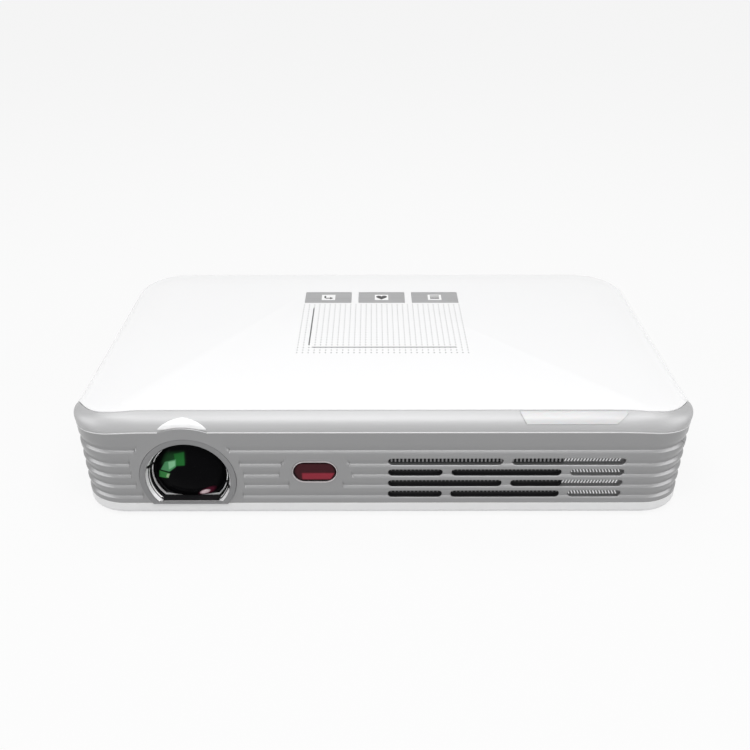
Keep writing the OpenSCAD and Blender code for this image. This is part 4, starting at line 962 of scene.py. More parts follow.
# %% [markdown]
# ## The brow
# The brow fills the step between the cover's crease and the silver wall. Its section is an arc that
# leaves the crease at 14 degrees and ends upright. Each station pairs a point of the crease with one
# of the outline and stretches the same arc between them. Round the corners the brow swells with the
# cover's sides and draws in again towards the seam.

# %% Shape of the brow
BROW_R = 8
BROW_C = (8.29, 38.25)
BROW_T = 1.5
BROW_START = 14.4
BROW_END = 80.6
BROW_SIDE_END = CREASE[-1][1]


def along(line, t):
    """Point at the share t of a line's length; more values than x and y are passed on in between."""
    runs = [0]
    for a, b in zip(line, line[1:]):
        runs.append(runs[-1] + math.dist(a[:2], b[:2]))
    target = t * runs[-1]
    for k in range(1, len(line)):
        if target <= runs[k] + 1e-9:
            part = (target - runs[k - 1]) / (runs[k] - runs[k - 1])
            return tuple(a + (b - a) * part for a, b in zip(line[k - 1], line[k]))
    return line[-1]


def brow_row(inner, x, d, nx, nd, steps=16):
    """Points from a point of the crease over the brow to the seam at one outline station."""
    share = side_share(nx)
    out = BROW_SWELL * share - LIP * (1 - share)
    outer = (x + nx * out, d + nd * out)
    seam = seam_height(x)
    top, widest = side_height(CASE_W / 2 - abs(inner[0])), seam + (SWELL_H - seam) * share
    a0 = math.radians(BROW_START)
    a1 = math.radians(BROW_END + (90 - BROW_END) * share)
    row = []
    for k in range(steps + 1):
        a = a0 + (a1 - a0) * k / steps
        t = (math.sin(a) - math.sin(a0)) / (math.sin(a1) - math.sin(a0))
        drop = (math.cos(a) - math.cos(a1)) / (math.cos(a0) - math.cos(a1))
        row.append((inner[0] + (outer[0] - inner[0]) * t, depth(inner[1] + (outer[1] - inner[1]) * t),
                    height(widest + (top - widest) * drop)))
    for t in (0.25, 0.5, 0.75, 1):
        draw_in = (BROW_SWELL + 0.1) * share * t ** 1.5
        row.append((outer[0] - nx * draw_in, depth(outer[1] - nd * draw_in),
                    height(widest + (seam - widest) * t - 0.01 * t)))
    return row


corner_crease = [(FRONT_HALF, crease_depth(FRONT_HALF))]
corner_crease += [(x, d) for x, d in CREASE_LINE if x > FRONT_HALF]
corner_outline = corner_stations(1, False)[:-1] + side_stations(1, spread(CORNER_Y, BROW_SIDE_END, 1))
right_rows = []
for k in range(31):
    t = k / 30 * 0.985
    x, d = along(corner_crease, t)
    outer_x, outer_y, nx, ny = along(corner_outline, t)
    right_rows.append(brow_row((x, d - CREASE_GAP), outer_x, outer_y + CASE_D / 2, -nx, -ny))
left_rows = [[(-x, y, z) for x, y, z in row] for row in right_rows[::-1]]
front_rows = [brow_row((x, crease_depth(x) - CREASE_GAP), x, 0, 0, -1)
              for x in spread(-FRONT_HALF, FRONT_HALF, 2.5)]
rows = left_rows[:-1] + front_rows + right_rows[1:]
points = [p for row in rows for p in row]
brow = face_up(plain_object("brow", points, open_strip_faces(len(rows), len(rows[0]))))
thicken(brow, BROW_T)
bevel(brow, 0.15, 2, 60)
print("brow faces:", len(brow.data.polygons))

# %% [markdown]
# A narrow bead closes the seam between the brow and the silver wall. Its paint is a lighter copy of the
# silver paint: a painted highlight along the seam.

# %% Seam bead
# A lighter copy of the silver paint, a painted highlight.
seam_highlight_paint = finish("bright_silver_paint", (0.60, 0.60, 0.605), 2600, 0.01, 0.3, 0.05, 0.01,
                    Metallic=0.3)


def bead_section(x, y):
    top = seam_height(x)
    return [(-0.06, top - 0.22), (-0.06, top + 0.04), (0.04, top + 0.14),
            (0.9, top + 0.14), (0.9, top - 0.22)]


arch_half = math.sqrt(BULGE_R ** 2 - (SEAM_H - LENS_H) ** 2)
bead_left = side_stations(-1, spread(BROW_SIDE_END, CORNER_Y, 3))[:-1]
bead_left += corner_stations(-1, False)[::-1][:-1]
bead_left += front_stations(spread(-FRONT_HALF, LENS_X - arch_half, 2))
bead_right = front_stations(spread(LENS_X + arch_half, FRONT_HALF, 2)) + corner_stations(1, False)[1:]
bead_right += side_stations(1, spread(CORNER_Y, BROW_SIDE_END, 3))[1:]
for name, path in (("seam_bead_left", bead_left), ("seam_bead_right", bead_right)):
    bead = bevel(sweep_wall(name, path, bead_section), 0.05, 2)
    dress(bead, seam_highlight_paint, 40)
print("seam bead stations:", len(bead_left), len(bead_right))

# %% [markdown]
# The silver wall rises over the lens in a shallow arch, so the brow is cut round it. A white hood
# sits over the arch. Each of its sections is an arc about the lens axis that starts and ends on the
# brow's face; its half width shrinks with the depth, so the hood's outline is a rounded peak.

# %% Arch, hood pocket and light bar seat
HOOD_HALF = 9.8
HOOD_START = 0.5
HOOD_END = 3.3
HOOD_T = 1
HOOD_BLUNT = 0.68
BAR_X0 = 52.5
BAR_X1 = 94
BAR_SLANT_LEFT = 2.2
BAR_SLANT_RIGHT = 5
BAR_TOP = CASE_H - 0.15
BAR_LOW = SEAM_H + 3.1
BAR_PROUD = 0.45
BAR_T = 1.2


def brow_face(d):
    """Height of the brow's face at depth d on its straight run."""
    return BROW_C[1] + math.sqrt(BROW_R ** 2 - (BROW_C[0] - d) ** 2)


def hood_body(grow=0, steps=18, across=28):
    """The hood as a closed solid: an arched upper face over a flat lower one."""
    points = []
    for k in range(steps + 1):
        d = BULGE_D + (HOOD_END - BULGE_D) * math.sin(math.radians(90 * k / steps))
        along_hood = (d - HOOD_START) / (HOOD_END - HOOD_START + 0.02)
        half = HOOD_HALF * (1 - along_hood) ** HOOD_BLUNT + grow
        rise = brow_face(d) - LENS_H
        r = math.hypot(rise, half) + 0.12 + grow
        y = depth(d + grow * (1 if k else -1))
        for j in range(across + 1):
            x = half * (2 * j / across - 1)
            points.append((LENS_X + x, y, height(LENS_H + math.sqrt(r * r - x * x))))
        for j in range(across + 1):
            x = half * (1 - 2 * j / across)
            points.append((LENS_X + x, y, height(LENS_H + rise - HOOD_T - grow)))
    return plain_object("hood", points, sweep_faces(steps + 1, 2 * across + 2))


def brow_core(inset, x0, x1):
    """Everything behind the brow's section, inset inside it, over a straight run."""
    r = BROW_R - inset
    cy, cz = depth(BROW_C[0]), height(BROW_C[1])
    outline = [(cy + 8, height(BASE_H)), (cy + 8, cz + r)] + arc(cy, cz, r, 90, 180, 32)
    outline.append((cy - r, height(BASE_H)))
    return prism(X, outline, x0, x1)


def bar_prism(grow=0):
    top, low = height(BAR_TOP + grow), height(BAR_LOW - grow)
    outline = [(BAR_X0 - grow, top), (BAR_X1 + grow, top),
               (BAR_X1 - BAR_SLANT_RIGHT + grow, low), (BAR_X0 + BAR_SLANT_LEFT - grow, low)]
    return prism(Y, outline, depth(-1), depth(CREASE[0][1]))


bar_span = (BAR_X0 - 5, BAR_X1 + 5)
arch = prism(Y, circle(LENS_X, height(LENS_H), BULGE_R + 0.03, 192), depth(-1), depth(BULGE_D))
bar_pocket = cut(bar_prism(0.1), [brow_core(BAR_T, *bar_span)])
cut(brow, [arch, hood_body(0.04), bar_pocket])
dress(brow, brow_paint, 30)
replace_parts(brow, "front_brow")
print("brow after cutting:", len(brow.data.polygons), "faces")

# %% Hood
hood = bevel(hood_body(), 0.12, 3, 50)
dress(hood, white_gloss, 40)
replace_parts(hood, "lens_hood")
print("hood faces:", len(hood.data.polygons))

# %% [markdown]
# The light bar follows the brow's arc and stands 0.45 mm proud of it. A prism with slanted ends is
# cut to two arcs, an outer and an inner one, and its edges are rounded.

# %% Light bar
light_diffuser = finish("milky_diffuser", (0.66, 0.66, 0.665), 400, 0.01, 0.3, 0.03, 0.01,
                        Coat_Weight=0.3, Coat_Roughness=0.15, Subsurface_Weight=0.1,
                        Subsurface_Scale=0.002)
bar = bar_prism()
cut(bar, [brow_core(-BAR_PROUD, *bar_span)], "INTERSECT")
cut(bar, [brow_core(BAR_T, *bar_span)])
bevel(bar, 0.32, 4, 40)
dress(bar, light_diffuser, 40)
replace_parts(bar, "status_light_bar")
print("light bar faces:", len(bar.data.polygons))

# %% [markdown]
# ## The bottom
# The bottom is one white tray. Its outside and inside are swept round the whole path in one closed
# loop of stations, and two flat faces close it. Feet, screw heads, the tripod thread and the air
# inlet get their cutters.

# %% Bottom cover
FOOT_R = 6
FOOT_IN = (26, 22)
FLOOR_IN = 10
SCREW_R = 2.5
INSERT_R = 5
INLET_HALF = 14
INLET_SLOT = 2.2
INLET_PITCH = 4.4
SCREWS = [(20 - CASE_W / 2, depth(9)), (CASE_W / 2 - 20, depth(9)), (9 - CASE_W / 2, depth(46)),
          (CASE_W / 2 - 9, depth(68)), (-11, depth(CASE_D - 8)), (64, depth(CASE_D - 8))]


def base_section():
    """From the middle of the outer floor round the rim to the middle of the inner floor."""
    e = BAND_DRAFT
    outer = arc(e + BASE_EDGE_R, BASE_EDGE_R, BASE_EDGE_R, 270, 180, 10)
    rim = [(e, BASE_H - EDGE), (e + EDGE, BASE_H), (e + WALL, BASE_H), (e + WALL, WALL + 1)]
    return [(FLOOR_IN, 0)] + outer + rim + [(e + WALL + 1, WALL), (FLOOR_IN, WALL)]


def whole_path():
    side = CASE_D - BACK_R
    path = front_stations(spread(-FRONT_HALF, FRONT_HALF, 8))
    path += corner_stations(1, False)[1:]
    path += side_stations(1, spread(CORNER_Y, side, 4))[1:]
    path += corner_stations(1, True)[::-1][1:]
    path += back_stations(spread(back_half, -back_half, 8))[1:]
    path += corner_stations(-1, True)[1:]
    path += side_stations(-1, spread(side, CORNER_Y, 4))[1:]
    return path + corner_stations(-1, False)[::-1][1:-1]


section = base_section()
path = whole_path()
points = [(x + nx * inset, y + ny * inset, height(h)) for inset, h in section for x, y, nx, ny in path]
faces = sweep_faces(len(section), len(path))
bottom = plain_object("bottom_shell", points, faces)

foot_x, foot_y = CASE_W / 2 - FOOT_IN[0], CASE_D / 2 - FOOT_IN[1]
cutters = [prism(Z, circle(x, y, FOOT_R + 0.05, 64), height(-1), height(0.8))
           for x in (-foot_x, foot_x) for y in (-foot_y, foot_y)]
cutters += [prism(Z, circle(x, y, SCREW_R, 40), height(-1), height(WALL - 0.3)) for x, y in SCREWS]
tripod = middle(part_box("tripod_insert"))
cutters.append(prism(Z, circle(tripod.x, tripod.y, INSERT_R + 0.02, 64), height(-1), height(WALL + 1)))
inlet = middle(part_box("blower_housing"))
for k in range(-3, 4):
    low = inlet.y + k * INLET_PITCH - INLET_SLOT / 2
    slot = stadium(inlet.x - INLET_HALF, inlet.x + INLET_HALF, low, low + INLET_SLOT, 6)
    cutters.append(prism(Z, slot, height(-1), height(WALL + 1)))
cut(bottom, cutters)
bottom_white = finish("satin_white_plastic", (0.79, 0.79, 0.795), 500, 0.01, 0.4, 0.05, 0.015)
dress(bottom, bottom_white, 30)
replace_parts(bottom, "bottom_cover")
print("bottom faces:", len(bottom.data.polygons))

# %% [markdown]
# ## The lens
# From the outside inwards the lens has a satin grey ring, a plated liner that shows as a bright
# crescent, a black funnel, a thin polished retaining rim and the glass. All but the glass are flat at
# the bottom. The liner and the rim each have two black spanner notches across from each other. The
# rim and the glass ride on the focusing group, the rest on the case.

# %% Ring, liner and rim
LINER_R = 16.75
LINER_BACK_R = 15.6
LINER_DEPTH = (0.95, 3.2)
RING_FLAT = 11.8
LINER_FLAT = 10.9
GLASS_R = 14.5
GLASS_DOME_R = 30
GLASS_APEX = 2.3
GLASS_BACK = 10.2
GLASS_FLAT = 10
RIM_R = 15.1
RIM_DEPTH = (4.9, 5.9)
FOOT_CUT_HALF = 11.4
FOOT_CUT_DROP = 9.4
NOTCH_ANGLES = (162, -16)

ring_grey = finish("satin_ring_grey", (0.22, 0.22, 0.224), 1500, 0.05, 0.42, 0.1, 0.08, Metallic=0.3)
polished = finish("bright_plating", (0.95, 0.95, 0.955), 300, 0.02, 0.35, 0.04, 0.01, Metallic=0.35)
optical_black = finish("optical_black", (0.006, 0.006, 0.007), 1500, 0.2, 0.7, 0.1, 0.1,
                       Specular_IOR_Level=0.2)


def flat_ring(name, r0, flat0, r1, flat1, d0, d1):
    """A ring between two flat-bottomed circles, from depth d0 to d1."""
    ring = prism(Y, flat_circle(r1, flat1), depth(d0), depth(d1), name)
    return cut(ring, [prism(Y, flat_circle(r0, flat0), depth(d0 - 1), depth(d1 + 1))])


def notch_cutters(r, d0, d1, width=2):
    """Boxes across a ring at the two notch angles."""
    made = []
    for angle in NOTCH_ANGLES:
        a = math.radians(angle)
        ax, az = math.cos(a), math.sin(a)
        box = []
        for out, over in ((r - 2, -1), (r + 2, -1), (r + 2, 1), (r - 2, 1)):
            side = over * width / 2
            box.append((LENS_X + out * ax - side * az, height(LENS_H) + out * az + side * ax))
        made.append(prism(Y, box, depth(d0), depth(d1)))
    return made


def cone_ring(name, rings):
    """A ring with a slanted inner face; rings are (radius, flat, depth) in order round its section."""
    points = []
    for r, flat, d in rings:
        points += [(x, depth(d), z) for x, z in flat_circle(r, flat)]
    return plain_object(name, points, sweep_faces(len(rings), len(points) // len(rings), closed=True))


ring = flat_ring("lens_ring_face", LINER_R, LINER_FLAT, RING_R, RING_FLAT, 0.3, LINER_DEPTH[0] - 0.02)
bevel(ring, 0.14, 3)
dress(ring, ring_grey)
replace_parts(ring, "lens_ring")
liner = cone_ring("lens_ring_liner", [
    (LINER_R, LINER_FLAT, LINER_DEPTH[0]), (LINER_BACK_R, LINER_FLAT - 0.35, LINER_DEPTH[1]),
    (LINER_R + 0.4, LINER_FLAT + 0.3, LINER_DEPTH[1]),
    (LINER_R + 0.4, LINER_FLAT + 0.3, LINER_DEPTH[0])])
foot_cut = rectangle(LENS_X - FOOT_CUT_HALF, LENS_X + FOOT_CUT_HALF, height(0),
                     height(LENS_H - FOOT_CUT_DROP))
cut(liner, notch_cutters(LINER_R, 0, 4) + [prism(Y, foot_cut, depth(0), depth(4))])
dress(liner, polished)
rim = flat_ring("glass_rim", GLASS_R + 0.25, GLASS_FLAT + 0.2, RIM_R, GLASS_FLAT + 0.5, *RIM_DEPTH)
cut(rim, notch_cutters(RIM_R, 3, 9, 1.6))
dress(bevel(rim, 0.12, 2), polished, 35, "lens_group")
print("ring, liner and rim:", [len(o.data.polygons) for o in (ring, liner, rim)])

# %% [markdown]
# The glass is a dome with its lower part cut flat. Its coating is nearly black from most angles, and
# a few sharp-edged green reflections of the aperture and one pale pink glint are painted on it. These
# painted reflections are soft polygons and an ellipse in the plane of the lens, built in a shader group
# that puts out a colour.

# %% Glass with painted reflections


def soft_step(tree, value, low, high):
    """From 0 at low to 1 at high, with a soft start and end."""
    ends = {"Value": value, "From Min": low, "From Max": high}
    return add(tree, "ShaderNodeMapRange", ends, interpolation_type="SMOOTHSTEP").outputs[0]


def soft_polygon(tree, u, v, corners, soft):
    """Mask of a convex polygon with corners in clockwise order: a product of soft half planes."""
    mask = None
    for k, (ax, ay) in enumerate(corners):
        bx, by = corners[(k + 1) % len(corners)]
        length = math.hypot(bx - ax, by - ay)
        nx, ny = (by - ay) / length, -(bx - ax) / length
        along_u = maths(tree, "MULTIPLY_ADD", u, nx, -(nx * ax + ny * ay))
        part = soft_step(tree, maths(tree, "MULTIPLY_ADD", v, ny, along_u), -soft, soft)
        mask = part if mask is None else maths(tree, "MULTIPLY", mask, part)
    return mask


def soft_ellipse(tree, u, v, centre, radii, turn, soft):
    """Mask of an ellipse, turned by an angle in degrees."""
    a = math.radians(turn)
    du = maths(tree, "SUBTRACT", u, centre[0])
    dv = maths(tree, "SUBTRACT", v, centre[1])
    p = maths(tree, "MULTIPLY_ADD", du, math.cos(a) / radii[0],
              maths(tree, "MULTIPLY", dv, math.sin(a) / radii[0]))
    q = maths(tree, "MULTIPLY_ADD", dv, math.cos(a) / radii[1],
              maths(tree, "MULTIPLY", du, -math.sin(a) / radii[1]))
    squares = [maths(tree, "MULTIPLY", side, side) for side in (p, q)]
    return soft_step(tree, maths(tree, "ADD", *squares), 1 + soft, 1 - soft)


def plane_at(tree, x, z):
    """X and Z in millimetres from a point of the front."""
    at = add(tree, "ShaderNodeTexCoord").outputs["Object"]
    to_mm = {"Vector": at, "Location": (-x, 0, -z), "Scale": (1 / MM,) * 3}
    place = add(tree, "ShaderNodeMapping", to_mm)
    split = add(tree, "ShaderNodeSeparateXYZ", {0: place.outputs[0]}).outputs
    return split["X"], split["Z"]


def drawn_material(name, centre, base, layers, **sockets):
    """A material whose colour is drawn in layers; each is (mask, the mask's numbers, colour)."""
    group, _, outside = new_group(name + "_layers", [], [("Colour", "NodeSocketColor")])
    u, v = plane_at(group, *centre)
    colour = (*base, 1)
    for mask, numbers, tint in layers:
        parts = {"Factor": mask(group, u, v, *numbers), "A": colour, "B": (*tint, 1)}
        colour = add(group, "ShaderNodeMix", parts, data_type="RGBA").outputs["Result"]
    wire(group, outside, {"Colour": colour})
    material, shader = new_material(name, **sockets)
    drawing = add(material.node_tree, "ShaderNodeGroup", node_tree=group)
    wire(material.node_tree, shader, {"Base Color": drawing.outputs["Colour"]})
    return material


# Corners of each painted reflection in the lens plane, clockwise, then its colour and the softness of its
# edge
GLINTS = [
    ([(-8.4, 9.8), (-1.3, 10.7), (-1.1, 5.2), (-4.7, 5.0), (-11.6, 2.8)], (0.012, 0.055, 0.018), 1.2),
    ([(-5.3, 9.6), (-1.2, 10.6), (-1.2, 5.3), (-4.6, 4.9)], (0.018, 0.14, 0.03), 0.4),
    ([(-9.2, 5.9), (-4.6, 7.6), (-4.7, 4.6), (-7.7, 1.9), (-11.4, 2.1)], (0.08, 0.28, 0.12), 0.3),
    ([(-7.8, 6.1), (-5.0, 7.0), (-5.1, 4.9), (-7.8, 2.8)], (0.22, 0.50, 0.28), 0.25),
    ([(-12.0, 1.5), (-7.5, 1.1), (-8.9, -1.5), (-12.5, -1.7)], (0.045, 0.22, 0.06), 0.3),
    ([(-8.8, 0.7), (-7.7, 0.8), (-8.5, -1.3), (-9.4, -1.0)], (0.30, 0.46, 0.26), 0.2),
]
# Centre, radii and turn of each painted glint, an ellipse, then its colour and softness
PINK_GLINTS = [
    (((6.3, -8.2), (3.4, 1.6), 28), (0.10, 0.012, 0.03), 0.9),
    (((5.4, -8.4), (2.0, 1.1), 20), (0.85, 0.66, 0.70), 0.6),
]


# The painted reflections and the painted glint become layers of the glass's colour.
layers = [(soft_polygon, (corners, soft), tint) for corners, tint, soft in GLINTS]
layers += [(soft_ellipse, (*place, soft), tint) for place, tint, soft in PINK_GLINTS]
coated_glass = drawn_material("coated_glass", (LENS_X, height(LENS_H)), (0.0025, 0.0025, 0.003), layers,
                              Roughness=0.05, IOR=1.5, Specular_IOR_Level=0.02)

rings, around = 24, 96
points, faces = [(LENS_X, depth(GLASS_APEX), height(LENS_H))], []
for k in range(1, rings + 1):
    r = GLASS_R * math.sin(math.radians(90 * k / rings))
    d = GLASS_APEX + GLASS_DOME_R - math.sqrt(GLASS_DOME_R ** 2 - r * r)
    points += [(x, depth(d), z) for x, z in circle(LENS_X, height(LENS_H), r, around)]
faces += [(0, 1 + k, 1 + (k + 1) % around) for k in range(around)]
for r in range(rings - 1):
    a, b = 1 + r * around, 1 + (r + 1) * around
    faces += [(a + k, b + k, b + (k + 1) % around, a + (k + 1) % around) for k in range(around)]
back = len(points)
points += [(x, depth(GLASS_BACK), z) for x, z in circle(LENS_X, height(LENS_H), GLASS_R, around)]
a = back - around
faces += [(a + k, back + k, back + (k + 1) % around, a + (k + 1) % around) for k in range(around)]
faces.append(tuple(range(back, back + around)))
glass = plain_object("front_glass", points, faces)
keep = prism(Y, flat_circle(GLASS_R + 1, GLASS_FLAT), depth(0), depth(14))
cut(glass, [keep], "INTERSECT")
dress(glass, coated_glass, 40, "lens_group")
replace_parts(glass, "front_lens")
print("glass faces:", len(glass.data.polygons))

# %% [markdown]
# ## The infrared window
# The window is dark red plastic: its upper half looks nearly black and its lower half has a painted red
# glow. The glow is drawn in the shader from the height on the piece, with a painted dark shade at the
# rim all round. A narrow light bezel lines its opening.

# %% Infrared window
# Painted light on the window: inside the first polygon the pane is a little lighter than the painted dark
# shade at its rim, and the lit polygon is a painted red glow in the lower half.
half_w, half_t = WINDOW_W / 2 - 0.2, WINDOW_T / 2 - 0.2
within_painted_rim = [(-half_w + 2.2, half_t - 0.9), (half_w - 2.2, half_t - 0.9), (half_w - 0.6, 0.3),
          (half_w - 2.2, -half_t + 1.1), (-half_w + 2.2, -half_t + 1.1), (-half_w + 0.6, 0.3)]
lit = [(-half_w + 3.6, -0.6), (half_w - 0.9, -0.6), (half_w - 2.4, -half_t + 1.2),
       (-half_w + 3.6, -half_t + 1.2)]
layers = [(soft_polygon, (within_painted_rim, 0.7), (0.05, 0.010, 0.014)),
          (soft_polygon, (lit, 0.45), (0.27, 0.028, 0.045))]
ir_window_painted_glow = drawn_material("infrared_red", (IR_X, height(WINDOW_H)), (0.004, 0.001, 0.0015), layers,
                            Roughness=0.18, Specular_IOR_Level=0.08)
pane = prism(Y, stadium(*grown(window, -0.24), 16), depth(0.45), depth(BAND_T), "pane")
dress(bevel(pane, 0.5, 4), ir_window_painted_glow, 40)
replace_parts(pane, "ir_window")
bezel_ring = prism(Y, stadium(*window, 16), depth(0.15), depth(BAND_T - 0.2), "window_bezel")
cut(bezel_ring, [prism(Y, stadium(*grown(window, -0.2), 16), depth(-1), depth(4))])
window_bezel_grey = finish("window_bezel_grey", (0.62, 0.58, 0.59), 900, 0.03, 0.3, 0.05, 0.02)
dress(bevel(bezel_ring, 0.06, 2), window_bezel_grey, 40)
print("window faces:", len(pane.data.polygons))

# %% [markdown]
# ## Rows made by Geometry Nodes
# The comb behind the vents, the fins that gleam through its right part and the printed dots of the
# pad all repeat one small shape. One tree sets a bar on each point of a line, leaning if asked; a
# second sets a disc on each point of a grid. Both end in Realize Instances and Set Material.

# %% Trees for rows and grids


def new_tree(name, inputs):
    """A geometry tree with named inputs; returns it with each input's identifier and its ends."""
    tree = bpy.data.node_groups.new(name, "GeometryNodeTree")
    tree.interface.new_socket(name="Geometry", in_out="INPUT", socket_type="NodeSocketGeometry")
    ids = {}
    for label, kind in inputs.items():
        socket = tree.interface.new_socket(name=label, in_out="INPUT", socket_type="NodeSocket" + kind)
        ids[label] = socket.identifier
    tree.interface.new_socket(name="Geometry", in_out="OUTPUT", socket_type="NodeSocketGeometry")
    return tree, ids, tree.nodes.new("NodeGroupInput"), tree.nodes.new("NodeGroupOutput")


def place_instances(tree, inside, outside, **inputs):
    """Sets a shape on each point, makes the copies real and gives them the material."""
    scatter = add(tree, "GeometryNodeInstanceOnPoints", inputs)
    real = add(tree, "GeometryNodeRealizeInstances", {0: scatter.outputs[0]})
    paint = add(tree, "GeometryNodeSetMaterial",
                {"Geometry": real.outputs[0], "Material": inside.outputs["Material"]})
    wire(tree, outside, {"Geometry": paint.outputs[0]})


def build_bar_row():
    tree, ids, inside, outside = new_tree("bar_row", {
        "Count": "Int", "Start": "Vector", "Step": "Vector", "Bar size": "Vector", "Lean": "Float",
        "Material": "Material"})
    values = inside.outputs
    steps = {"Count": values["Count"], "Start Location": values["Start"], "Offset": values["Step"]}
    line = add(tree, "GeometryNodeMeshLine", steps, mode="OFFSET")
    cube = add(tree, "GeometryNodeMeshCube", {"Size": values["Bar size"]})
    turn = add(tree, "ShaderNodeCombineXYZ", {"Y": values["Lean"]})
    place_instances(tree, inside, outside, Points=line.outputs["Mesh"], Instance=cube.outputs["Mesh"],
                    Rotation=turn.outputs[0])
    return tree, ids


def build_dot_grid():
    tree, ids, inside, outside = new_tree("dot_grid", {
        "Columns": "Int", "Rows": "Int", "Width": "Float", "Depth": "Float", "Centre": "Vector",
        "Radius": "Float", "Height": "Float", "Material": "Material"})
    values = inside.outputs
    grid = add(tree, "GeometryNodeMeshGrid", {
        "Size X": values["Width"], "Size Y": values["Depth"],
        "Vertices X": values["Columns"], "Vertices Y": values["Rows"]})
    move = add(tree, "GeometryNodeTransform",
               {"Geometry": grid.outputs["Mesh"], "Translation": values["Centre"]})
    disc = add(tree, "GeometryNodeMeshCylinder",
               {"Vertices": 8, "Radius": values["Radius"], "Depth": values["Height"]})
    place_instances(tree, inside, outside, Points=move.outputs["Geometry"],
                    Instance=disc.outputs["Mesh"])
    return tree, ids


bar_row = build_bar_row()
dot_grid = build_dot_grid()


def grow(name, tree_and_ids, slot, values):
    """A plain mesh from a tree with its inputs set, riding on the case."""
    tree, ids = tree_and_ids
    obj = put(name, bpy.data.meshes.new(name))
    modifier = obj.modifiers.new("grow", "NODES")
    modifier.node_group = tree
    for label, value in values.items():
        modifier[ids[label]] = value
    apply_modifiers(obj)
    return dress(obj, None)


print("trees:", bar_row[0].name, dot_grid[0].name)

# %% [markdown]
# ## The vents
# A dark comb stands right behind the vent slots. Its teeth are a lit and a shaded copy of one paint:
# painted light makes them grey in the top row, where the slot's floor stays bare, and painted shade
# makes them darker in the lower rows, whose slots are lined in black as painted shade. Through the
# right part the fins of the heat sink gleam as short leaning dashes.

# %% Comb, painted shade liners and fins behind the vents
COMB_PITCH = 1.54
TOP_TOOTH = (0.62, 0.5, 2.4)
LOW_TOOTH = (0.5, 0.4, 1.4)
FIN_PITCH = 1.25
FIN_DASH = (0.45, 0.4, 2.2)
FIN_LEAN = 24
BARS_DEPTH = 2.4
FINS_FROM = 70.6
VENT_X1 = VENT_X0 + VENT_LEN

# The comb's own black, also used for the painted shade liners in the lower slots.
mesh_dark = finish("comb_black", (0.012, 0.012, 0.013), 1200, 0.2, 0.55, 0.1, 0.05,
                   Specular_IOR_Level=0.3)
# Two copies of one tooth paint: the lighter one is painted light, the darker one painted shade.
lit_tooth_paint = finish("comb_tooth_grey", (0.27, 0.27, 0.275), 1200, 0.15, 0.45, 0.1, 0.05)
comb_shade = finish("comb_tooth_dark", (0.10, 0.10, 0.102), 1200, 0.15, 0.45, 0.1, 0.05)
fin_grey = finish("fin_plate_grey", (0.2, 0.2, 0.203), 900, 0.2, 0.5, 0.1, 0.05)
fin_aluminium = finish("fin_aluminium", (0.92, 0.92, 0.93), 700, 0.55, 0.35, 0.1, 0.02, stretch=3,
                       Metallic=0.3)


def grow_bars(name, row, x0, x1, pitch, size, low, d, slot, material, lean=0):
    """Bars of one size, (width, thickness, height), that start low above the ledge of a vent row."""
    centre = height(RIB_H[row] + low + size[2] / 2)
    return grow(name, bar_row, slot, {
        "Count": int((x1 - x0) / pitch), "Start": ((x0 + pitch / 2) * MM, depth(d) * MM, centre * MM),
        "Step": (pitch * MM, 0.0, 0.0), "Bar size": tuple(side * MM for side in size),
        "Lean": math.radians(lean), "Material": material,
    })


def vent_plate(name, x0, x1, material):
    """A thin plate close behind the slots between x0 and x1."""
    outline = rectangle(x0, x1, height(RIB_H[4] - 1.5), height(RIB_H[1] + VENT_H + 1.5))
    plate = prism(Y, outline, depth(BAND_T), depth(BAND_T + 0.4), name)
    return dress(plate, material)


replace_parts(vent_plate("comb_plate", VENT_X0 - 3, FINS_FROM, mesh_dark), "vent_mesh")
vent_plate("fin_plate", FINS_FROM, VENT_X1 + 2, fin_grey)
comb = (VENT_X0 + 0.6, FINS_FROM, COMB_PITCH)
# The top row's teeth get the painted light copy, the lower rows the painted shade copy.
grow_bars("comb_top_row", 1, *comb, TOP_TOOTH, 0.9, 2.2, "mesh_dark", lit_tooth_paint)
for row in (2, 3, 4):
    grow_bars(f"comb_row_{row}", row, *comb, LOW_TOOTH, 1.8, BARS_DEPTH, "mesh_dark", comb_shade)
    for x0, x1 in vent_slots(row):
        if x0 > FINS_FROM:
            continue
        slot = (x0, min(x1, FINS_FROM), height(RIB_H[row]), height(RIB_H[row] + VENT_H))
        # A black liner in each lower slot is painted shade.
        painted_shade_liner = prism(Y, stadium(*grown(slot, -0.02), 8), depth(1.35), depth(BAND_T), f"slot_painted_shade_{row}")
        cut(painted_shade_liner, [prism(Y, stadium(*grown(slot, -0.1), 8), depth(0), depth(BAND_T + 1))])
        dress(painted_shade_liner, mesh_dark)
for row in (1, 2, 3, 4):
    lean = FIN_LEAN if row % 2 else -FIN_LEAN
    grow_bars(f"fin_dashes_{row}", row, FINS_FROM + 0.3, VENT_X1 - 0.4, FIN_PITCH, FIN_DASH, 0.9,
              BARS_DEPTH, "fin_aluminium", fin_aluminium, lean)
print("comb teeth in a row:", int((comb[1] - comb[0]) / COMB_PITCH))

# %% [markdown]
# ## Touch keys and pad
# Three grey key plates lie flush in their pockets. Each carries a white square with a black symbol:
# an arrow that turns back, a heart and three menu lines. The pad in front of them is printed dots
# with an edge line on the left and in front. Prints are thin bodies: labels and dots stand 0.03 mm
# high, the symbols and lines 0.06 mm.

# %% Keys
PRINT_H = 0.03
LABEL_W = 6.6
LABEL_D = 6.2

key_grey = finish("key_grey", (0.36, 0.36, 0.365), 1100, 0.35, 0.4, 0.05, 0.02, stretch=60)
print_white = finish("print_white", (0.9, 0.9, 0.9), 900, 0.01, 0.3)
print_black = finish("print_black", (0.012, 0.012, 0.013), 900, 0.1, 0.35)
print_grey = finish("print_grey", (0.09, 0.09, 0.095), 900, 0.1, 0.4)

